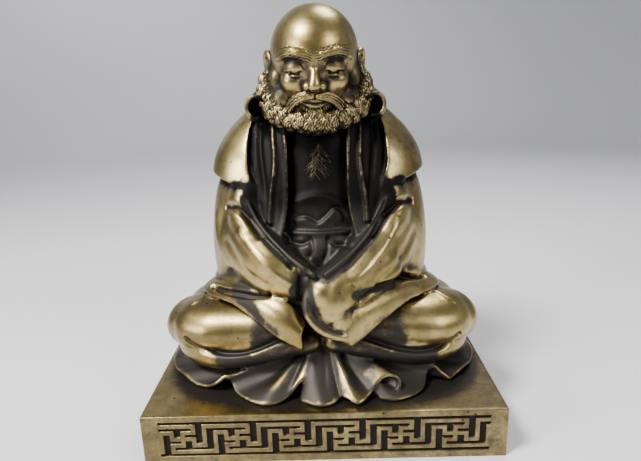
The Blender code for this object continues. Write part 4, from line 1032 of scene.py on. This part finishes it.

# Painted shade along the hanging right sleeve, under the left forearm, in the pocket over it, along the
# cuff's turned rim, and on the sleeves just under the mantle's edge
PAINTED_SHADE_STRIPES = (
    ([(-46, -35, 54.5), (-36, -42, 49), (-28, -47, 42.5), (-22, -50.5, 38)], 6.5, 3.5, 1.4, AS_SET),
    ([(14, -53, 52), (23, -48, 58.5), (36, -37, 60), (48, -24, 58.5)], 3.6, 1.4, 0.9, AS_SET),
    ([(18, -57.5, 59.5), (26.4, -52, 60), (32.5, -44.3, 58.6), (38, -38.8, 57.6)], 3.9, 1.56, 1.5, AS_SET),
    (
        [(-5.8, -57.6, 57.6), (-4.5, -61.3, 49.4), (2.3, -62.4, 43.1), (9.4, -61.9, 39.9)],
        2.2, 0.88, 1, AS_SET,
    ),
    ([(55, -5, 111), (45, -22, 111), (40, -25.5, 110.5), (36, -26.4, 109.5)], 3.4, 1.36, 1.2, BOTH),
)

# Painted shade at the elbows, where the right sleeve runs under the left cuff, behind it and under the cuff's
# tip, and three dull spots on the left sleeve
DARK_BLOTS = (
    ((50, -14, 60.5), (7, 9, 3.2), 0.5, 0.75, BOTH), ((-9, -50, 58), (7.5, 16, 12), 0.25, 1.5, AS_SET),
    ((-19, -46, 46), (10, 10, 5.5), 0.5, 1, AS_SET), ((7, -59, 36.5), (6, 6, 2.6), 0.5, 0.7, AS_SET),
    ((28, -44, 80), (2.6, 7, 3), 0.8, 0.6, AS_SET), ((28, -47, 77), (3, 7, 2), 0.8, 0.5, AS_SET),
    ((10.5, -60, 50.5), (5.5, 6, 2.6), 0.8, 0.6, AS_SET),
)

# Brass rubbed bright on the right sleeve's tip and on the skirt's folds
BRIGHT_BLOTS = (
    ((-13, -55, 33), (7, 6, 4.5), 0.4, 0.7, AS_SET), ((-27, -53, 9), (9, 6, 4), 0.6, 0.62, AS_SET),
    ((-12, -53, 13), (4, 7, 9), 0.6, 0.62, AS_SET), ((9, -56, 9), (4, 8, 8), 0.6, 0.62, AS_SET),
    ((19, -61, 5), (7, 4, 4), 0.6, 0.62, AS_SET), ((27, -54, 12), (9, 6, 3.5), 0.6, 0.62, AS_SET),
    ((-58, -44, 9), (5, 4, 3), 0.6, 0.62, AS_SET),
)

# Browner and darker over the right knee, the left shoulder and the right sleeve
BROWNED_BLOTS = (
    ((-62, -26, 30), (34, 34, 20), 0.5, 0.21, AS_SET), ((44, 0, 122), (26, 44, 26), 0.5, 0.2, AS_SET),
    ((-40, -20, 84), (22, 30, 22), 0.5, 0.1, AS_SET),
)

# Hollows of the head, as places on it before it bows
HEAD_BLOTS = (
    ((9, -18.5, 4.4), (7.5, 6, 2.4), 0.6, 0.75, BOTH), ((3.6, -20, 1), (2.2, 5, 4), 0.6, 0.55, BOTH),
    ((15, -15, -0.5), (3, 5, 3), 0.6, 0.45, BOTH), ((8.5, -19, -4.4), (6, 5, 1.6), 0.6, 0.5, BOTH),
    ((6.2, -21.5, -7.5), (2, 5, 4.4), 0.6, 0.7, BOTH), ((19, -9, -14), (4.5, 8, 9), 0.6, 0.7, BOTH),
    ((9.5, -17, -17), (6, 6, 4), 0.6, 0.6, BOTH), ((22, -2, -4), (3, 5, 8), 0.6, 0.6, BOTH),
    ((0, -22, -16.6), (8, 5, 0.9), 0.6, 0.6, AS_SET),
)


def body_finish(mesh):
    """Marks on the body, from 0 to 1: how dark its patina and painted shade are, and how grey the dark is
    from dust, greyer lower down and left black high on the chest as painted shade under the beard.
    """
    at, out = read_points(mesh, "co"), read_points(mesh, "normal")
    x, y, z = at.T
    fine, broad = hollows(mesh, 8), hollows(mesh, 90)
    dark = edge_of(0.05, 0.4, fine) * 0.6 + edge_of(0.3, 1.7, broad) * 0.9
    dark = dark * (1 - 0.5 * edge_of(20, 30, y))
    bright = edge_of(0.04, 0.3, -fine) * 0.55 + edge_of(0.3, 1.5, -broad) * 0.35
    # chest, lapels and belly between the mantle's edges, the hood's front, and the sleeves' rims
    chest = edge_of(-1.5, 1.5, np.interp(z, CHEST_HEIGHTS, CHEST_WIDTHS) - np.abs(x))
    chest = chest * edge_of(64, 70, z) * edge_of(0, 4, 2 - y)
    hood = edge_of(147, 151, z) * edge_of(24, 14, y) * edge_of(45, 40, np.abs(x))
    rims = stripes(at, RIM_STRIPES)
    # inner knees, and the shins with the rolls under them, dark with patina and with painted shade under the
    # knees
    low = edge_of(47, 41, z) * edge_of(-20, -28, y) * np.maximum(edge_of(-53, -49.5, y), edge_of(30, 26, z))
    knees = low * np.maximum(edge_of(-42, -36, x) * edge_of(0, -4, x), edge_of(49, 42, x) * edge_of(0, 4, x))
    shins = edge_of(24, 21.5, z) * edge_of(-24, -30, y) * edge_of(-66, -54, x) * edge_of(70, 60, x)
    rolls = edge_of(12.5, 15.5, z) * edge_of(-50, -47, y) * edge_of(8, 16, np.abs(x))
    shins = shins * (1 + 0.45 * rolls)
    # painted shade on down-facing surfaces low on the figure, as under the skirt's edge, and the skirt itself
    under = edge_of(0.2, 0.6, -out[:, 2]) * edge_of(20, 15, z)
    skirt = edge_of(13.5, 10.5, z) * edge_of(-20, -30, y) + edge_of(7, 4.5, z)
    skirt = np.maximum(skirt, blots(at, [((0, -48, 22), (22, 14, 12), 0.25, 1, AS_SET)]))
    # the darkest of these marks: patina, and painted shade where named above
    shade = np.maximum.reduce([
        chest, 0.9 * hood, rims, stripes(at, PAINTED_SHADE_STRIPES), blots(at, DARK_BLOTS), knees, shins, under,
        0.86 * np.clip(skirt, 0, 1),
    ])
    # brass rubbed bright again, and painted highlights along the lapels' edges, where they face forward,
    # stronger higher up
    edges = stripes(at, [(edge, 1.5, 0.9, 1, BOTH) for edge in (OUTER_LAPEL_EDGE, INNER_LAPEL_EDGE)])
    edges = edges * edge_of(0.2, 0.7, -out[:, 1]) * (0.36 + 0.25 * edge_of(105, 130, z))
    wear_and_highlight = np.maximum(blots(at, BRIGHT_BLOTS), edges)
    held = np.maximum.reduce([chest, 0.2 * hood, rims])
    rubbed = bright * (0.9 - 0.15 * (shade > 0.5) - 0.55 * held)
    patina_and_shade = np.maximum(np.clip(dark + shade - rubbed - wear_and_highlight, 0, 1), blots(at, BROWNED_BLOTS))
    # greyer lower down as dust, and left black high on the chest as painted shade under the beard
    dust_and_shade = np.clip(edge_of(104, 88, z) * 0.75 + edge_of(26, 10, z) * 0.3, 0, 1)
    return spread(mesh, patina_and_shade, 1), dust_and_shade


def head_finish(mesh):
    """The same marks on the head: dark between the curls and in the face's hollows."""
    fine, broad = hollows(mesh, 6), hollows(mesh, 60)
    back = np.array(bowed_head().inverted())
    at = read_points(mesh, "co") @ back[:3, :3].T + back[:3, 3]
    dark = edge_of(0.0, 0.16, fine) * 0.75 + edge_of(0.05, 0.8, broad) * 0.9
    bright = edge_of(0.02, 0.2, -fine) * 0.5 + edge_of(0.2, 1.2, -broad) * 0.3
    hair = edge_of(9.5, 6, off_path(at, [row[:3] for row in BEARD], 1))
    shade = np.maximum(0.3 * hair + 0.4 * edge_of(-22, -34, at[:, 2]), blots(at, HEAD_BLOTS))
    patina_and_shade = np.clip(dark + shade - bright, 0, 1)
    return spread(mesh, patina_and_shade, 1), np.full(len(at), 0.3)


def chest_hair(body):
    """A small fan of hairs chased on the bare chest, as fine limbs laid on its surface."""
    clay = Clay(body)
    bm = bmesh.new()
    rng = np.random.default_rng(11)
    stem = spline([(0.7, 131), (0.9, 126), (-0.4, 120), (-2.6, 113)], 12)
    hairs = [stem]
    for k in range(10):
        for side in BOTH:
            root = stem[k] + np.array([0, rng.uniform(-0.6, 0.6)])
            long = (3.4 + 5.4 * math.sin(math.pi * (k + 1) / 11)) * rng.uniform(0.75, 1.2)
            lean = rng.uniform(0.5, 1.15)
            tip = root + long * np.array([side * math.sin(lean), -math.cos(lean)])
            sag = (root + tip) / 2 + np.array([side * rng.uniform(-0.6, 0.3), rng.uniform(-0.7, 0.2)])
            hairs.append(spline([root, sag, tip], 6))
            if k in FORKED_HAIRS:
                lean -= rng.uniform(0.35, 0.6)
                fork = sag + 0.6 * long * np.array([side * math.sin(lean), -math.cos(lean)])
                hairs.append(spline([sag, (sag + fork) / 2 + np.array([side * 0.2, 0]), fork], 5))
    for hair in hairs:
        rows = []
        for k, flat in enumerate(hair):
            spot, normal = clay.land(flat)
            thick = HAIR_ROOT - (HAIR_ROOT - HAIR_TIP) * k / (len(hair) - 1)
            rows.append((*(spot + normal * HAIR_LIFT), thick))
        add_limb(bm, rows, up=BACK, sides=6, steps=10)
    hair = new_object(bm, "figure_chest_hair")
    pick(hair)
    bpy.ops.object.shade_smooth()
    return hair


def hair_finish(mesh):
    """Half dark, with dull brass along the hairs."""
    count = len(mesh.vertices)
    return np.full(count, 0.5), np.full(count, 0.4)


def colour(hexa):
    """A linear colour from an sRGB hex value."""
    parts = [int(hexa[k:k + 2], 16) / 255 for k in (1, 3, 5)]
    return (*[p / 12.92 if p <= 0.04045 else ((p + 0.055) / 1.055) ** 2.4 for p in parts], 1)


def add_node(tree, kind, inputs, **settings):
    """Adds a node with its settings. An input gets a value, or a link from a node and its output."""
    node = tree.nodes.new("ShaderNode" + kind)
    for name, value in settings.items():
        setattr(node, name, value)
    for socket, given in inputs.items():
        if isinstance(given, tuple) and isinstance(given[0], bpy.types.Node):
            tree.links.new(given[0].outputs[given[1]], node.inputs[socket])
        else:
            node.inputs[socket].default_value = given
    return node


def aged_brass(name):
    """Cast brass, pale and satin where it is rubbed, black-brown and dull in the hollows and where shade is
    painted.
    """
    material = bpy.data.materials.new(name)
    material.use_nodes = True
    tree = material.node_tree
    shader = tree.nodes["Principled BSDF"]
    place = add_node(tree, "TexCoord", {})
    # the marks that each piece keeps: dark from patina and painted shade, and grey from dust, left black high
    # on the chest as painted shade
    patina_and_shade_attribute = add_node(tree, "Attribute", {}, attribute_name="patina_and_shade")
    dust_and_shade_attribute = add_node(tree, "Attribute", {}, attribute_name="dust_and_shade")
    # noises, each with blots of about the stated size in mm
    noises = {}
    for label, size_mm, detail, rough in (
        ("cloud", 7, 6, 0.7), ("grain", 1.2, 4, 0.7), ("fine", 0.35, 2, 0.55), ("wide", 25, 3, 0.55),
        ("dirt", 14, 6, 0.7), ("sparse", 17, 2, 0.55), ("haze", 4, 3, 0.6),
    ):
        noises[label] = (add_node(tree, "TexNoise", {
            "Vector": (place, "Object"), "Scale": 1 / (size_mm * MM), "Detail": detail, "Roughness": rough,
        }), 0)
    # sums: the patina and painted shade mark with a ragged edge, pushed by clouds of about 7 mm and grains of
    # about 1 mm, the dust in patches with painted shade left black high on the chest, the metal's mottled
    # roughness, and the cast skin's fine relief
    pushed = add_node(tree, "Math", {0: noises["cloud"], 1: 0.9, 2: -0.6}, operation="MULTIPLY_ADD")
    pushed = add_node(tree, "Math", {0: noises["grain"], 1: 0.3, 2: (pushed, 0)}, operation="MULTIPLY_ADD")
    pushed = add_node(tree, "Math", {0: (patina_and_shade_attribute, "Fac"), 1: (pushed, 0)}, operation="ADD")
    dust_and_shade = add_node(tree, "Math", {0: noises["dirt"], 1: 0.5, 2: -0.25}, operation="MULTIPLY_ADD")
    dust_and_shade = add_node(tree, "Math", {0: (dust_and_shade, 0), 1: (dust_and_shade_attribute, "Fac")}, operation="ADD", use_clamp=True)
    mottled = add_node(tree, "Math", {0: noises["fine"], 1: 0.16, 2: -0.06}, operation="MULTIPLY_ADD")
    cast = add_node(tree, "Math", {0: noises["fine"], 1: 0.5, 2: noises["grain"]}, operation="MULTIPLY_ADD")
    steps = {}
    for label, source, low, high, start, stop in (
        ("patina_and_shade", (pushed, 0), 0.30, 0.66, 0.0, 1.0), ("film", (pushed, 0), -0.10, 0.48, 0.0, 1.0),
        ("gloss", (pushed, 0), 0.1, 0.75, 0.29, 0.52), ("metal", (pushed, 0), 0.40, 0.70, 1.0, 0.9),
        ("tone", noises["wide"], 0.35, 0.65, 0.0, 1.0), ("stain", noises["haze"], 0.52, 0.7, 0.0, 0.4),
        ("sparse", noises["sparse"], 0.5, 0.62, 0.0, 0.13),
    ):
        steps[label] = (add_node(tree, "MapRange", {
            "Value": source, "From Min": low, "From Max": high, "To Min": start, "To Max": stop,
        }, interpolation_type="SMOOTHSTEP"), 0)
    # casting pits, dark specks under 1 mm wide and some 5 mm apart
    cell = add_node(tree, "TexVoronoi", {"Vector": (place, "Object"), "Scale": 1 / (5 * MM)})
    pits = add_node(tree, "Math", {0: (cell, "Distance"), 1: steps["sparse"]}, operation="LESS_THAN")
    # the metal in two tones, stained olive in places, browned towards the patina and painted shade, then
    # black, greyed by dust but left black high on the chest as painted shade
    metal = add_node(tree, "Mix", {0: steps["tone"], 6: BRASS_DEEP, 7: BRASS_PALE}, data_type="RGBA")
    metal = add_node(tree, "Mix", {0: steps["stain"], 6: (metal, 2), 7: OLIVE_STAIN}, data_type="RGBA")
    browned = add_node(tree, "Mix", {0: steps["film"], 6: (metal, 2), 7: BROWN_FILM}, data_type="RGBA")
    black = add_node(tree, "Mix", {0: (dust_and_shade, 0), 6: BLACK_PATINA_AND_SHADE, 7: GREY_DUST}, data_type="RGBA")
    skin = add_node(tree, "Mix", {0: steps["patina_and_shade"], 6: (browned, 2), 7: (black, 2)}, data_type="RGBA")
    skin = add_node(tree, "Mix", {0: (pits, 0), 6: (skin, 2), 7: CAST_PIT}, data_type="RGBA")
    gloss = add_node(tree, "Math", {0: (mottled, 0), 1: steps["gloss"]}, operation="ADD")
    bump = add_node(tree, "Bump", {"Strength": 0.35, "Distance": 0.15 * MM, "Height": (cast, 0)})
    tree.links.new(skin.outputs[2], shader.inputs["Base Color"])
    tree.links.new(steps["metal"][0].outputs[0], shader.inputs["Metallic"])
    tree.links.new(gloss.outputs[0], shader.inputs["Roughness"])
    tree.links.new(bump.outputs["Normal"], shader.inputs["Normal"])
    return material


def set_on_plinth(obj, material):
    """Sets a piece of the figure on the plinth, from parts to metres, in its brass."""
    obj.data.transform(Matrix.Diagonal((PART, PART, PART, 1)))
    obj.data.transform(Matrix.Translation((0, 0, PLINTH_HEIGHT + SEAT_GAP)))
    obj.data.materials.clear()
    obj.data.materials.append(material)
    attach(obj, "root")
    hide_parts("figure")


def cut_base(obj):
    """Flattens what lies under the seat."""
    bm = bmesh.new()
    bm.from_mesh(obj.data)
    geometry = bm.verts[:] + bm.edges[:] + bm.faces[:]
    bmesh.ops.bisect_plane(bm, geom=geometry, plane_co=(0, 0, 0), plane_no=UP, clear_inner=True)
    rim = [e for e in bm.edges if e.is_boundary]
    bmesh.ops.triangle_fill(bm, use_beauty=True, use_dissolve=False, edges=rim, normal=(0, 0, -1))
    bmesh.ops.recalc_face_normals(bm, faces=bm.faces[:])
    bm.to_mesh(obj.data)
    bm.free()


def make_floor():
    """A pale floor, swept up into a wall far off on every side."""
    bm = bmesh.new()
    profile = [(0.6, 0), (FLOOR_REACH - FLOOR_CURVE, 0)]
    for lean in np.linspace(0, math.pi / 2, 13)[1:]:
        profile.append((FLOOR_REACH - FLOOR_CURVE * (1 - math.sin(lean)), FLOOR_CURVE * (1 - math.cos(lean))))
    profile.append((FLOOR_REACH, WALL_HEIGHT))
    turns = np.linspace(0, 2 * math.pi, FLOOR_SIDES, endpoint=False)
    add_rings(bm, [[(r * math.cos(t), r * math.sin(t), z) for t in turns] for r, z in profile[::-1]], False)
    bm.faces.new(list(bm.verts)[-FLOOR_SIDES:])
    floor = new_object(bm, "floor")
    pick(floor)
    bpy.ops.object.shade_smooth()
    pale = bpy.data.materials.new("pale_floor")
    pale.use_nodes = True
    pale.node_tree.nodes["Principled BSDF"].inputs["Base Color"].default_value = colour("#C9C9CC")
    pale.node_tree.nodes["Principled BSDF"].inputs["Roughness"].default_value = 0.7
    floor.data.materials.append(pale)


def make_studio():
    """The camera at the photograph's angle, a soft grey world and five area lights."""
    bpy.ops.object.camera_add(location=CAMERA_PLACE)
    camera = bpy.context.active_object
    camera.data.sensor_width = CAMERA_SENSOR
    camera.data.lens = CAMERA_LENS
    camera.data.clip_start = 0.01
    camera.rotation_euler = [math.radians(angle) for angle in CAMERA_TURN]
    bpy.context.scene.camera = camera
    world = bpy.data.worlds.new("studio")
    bpy.context.scene.world = world
    world.use_nodes = True
    world.node_tree.nodes["Background"].inputs["Color"].default_value = colour("#D8DADE")
    world.node_tree.nodes["Background"].inputs["Strength"].default_value = 0.4
    for name, place, target, size, power in LIGHTS:
        bpy.ops.object.light_add(type="AREA", location=place)
        light = bpy.context.active_object
        light.name = name
        light.data.size = size
        light.data.energy = power
        light.data.spread = math.radians(90)
        light.rotation_euler = (Vector(target) - Vector(place)).to_track_quat("-Z", "Y").to_euler()


# colours of the brass; the black serves both the patina and the painted shade
BRASS_DEEP, BRASS_PALE = colour("#8F7D49"), colour("#B8A46F")
OLIVE_STAIN, BROWN_FILM = colour("#7B693D"), colour("#605540")
BLACK_PATINA_AND_SHADE, GREY_DUST, CAST_PIT = colour("#0F0C0B"), colour("#3A3631"), colour("#2A241D")

body = make_body(BODY_VOXEL)
body.name = "figure_body"
thin_out(body)
cut_base(body)
head = make_head(HEAD_VOXEL)
head.name = "figure_head"
thin_out(head)
plinth = make_plinth()
hair = chest_hair(body)
# each piece keeps two marks: how dark it is, from patina and painted shade, and how grey the dark is, from
# dust, left black high on the chest as painted shade
for piece, finish in ((body, body_finish), (head, head_finish), (plinth, plinth_finish), (hair, hair_finish)):
    patina_and_shade, dust_and_shade = finish(piece.data)
    write_attribute(piece.data, "patina_and_shade", patina_and_shade)
    write_attribute(piece.data, "dust_and_shade", dust_and_shade)
brass = aged_brass("aged_cast_brass")
for piece in (body, head, hair):
    set_on_plinth(piece, brass)
plinth.data.materials.append(aged_brass("aged_plinth_brass"))
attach(plinth, "root")
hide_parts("plinth")
make_floor()
make_studio()
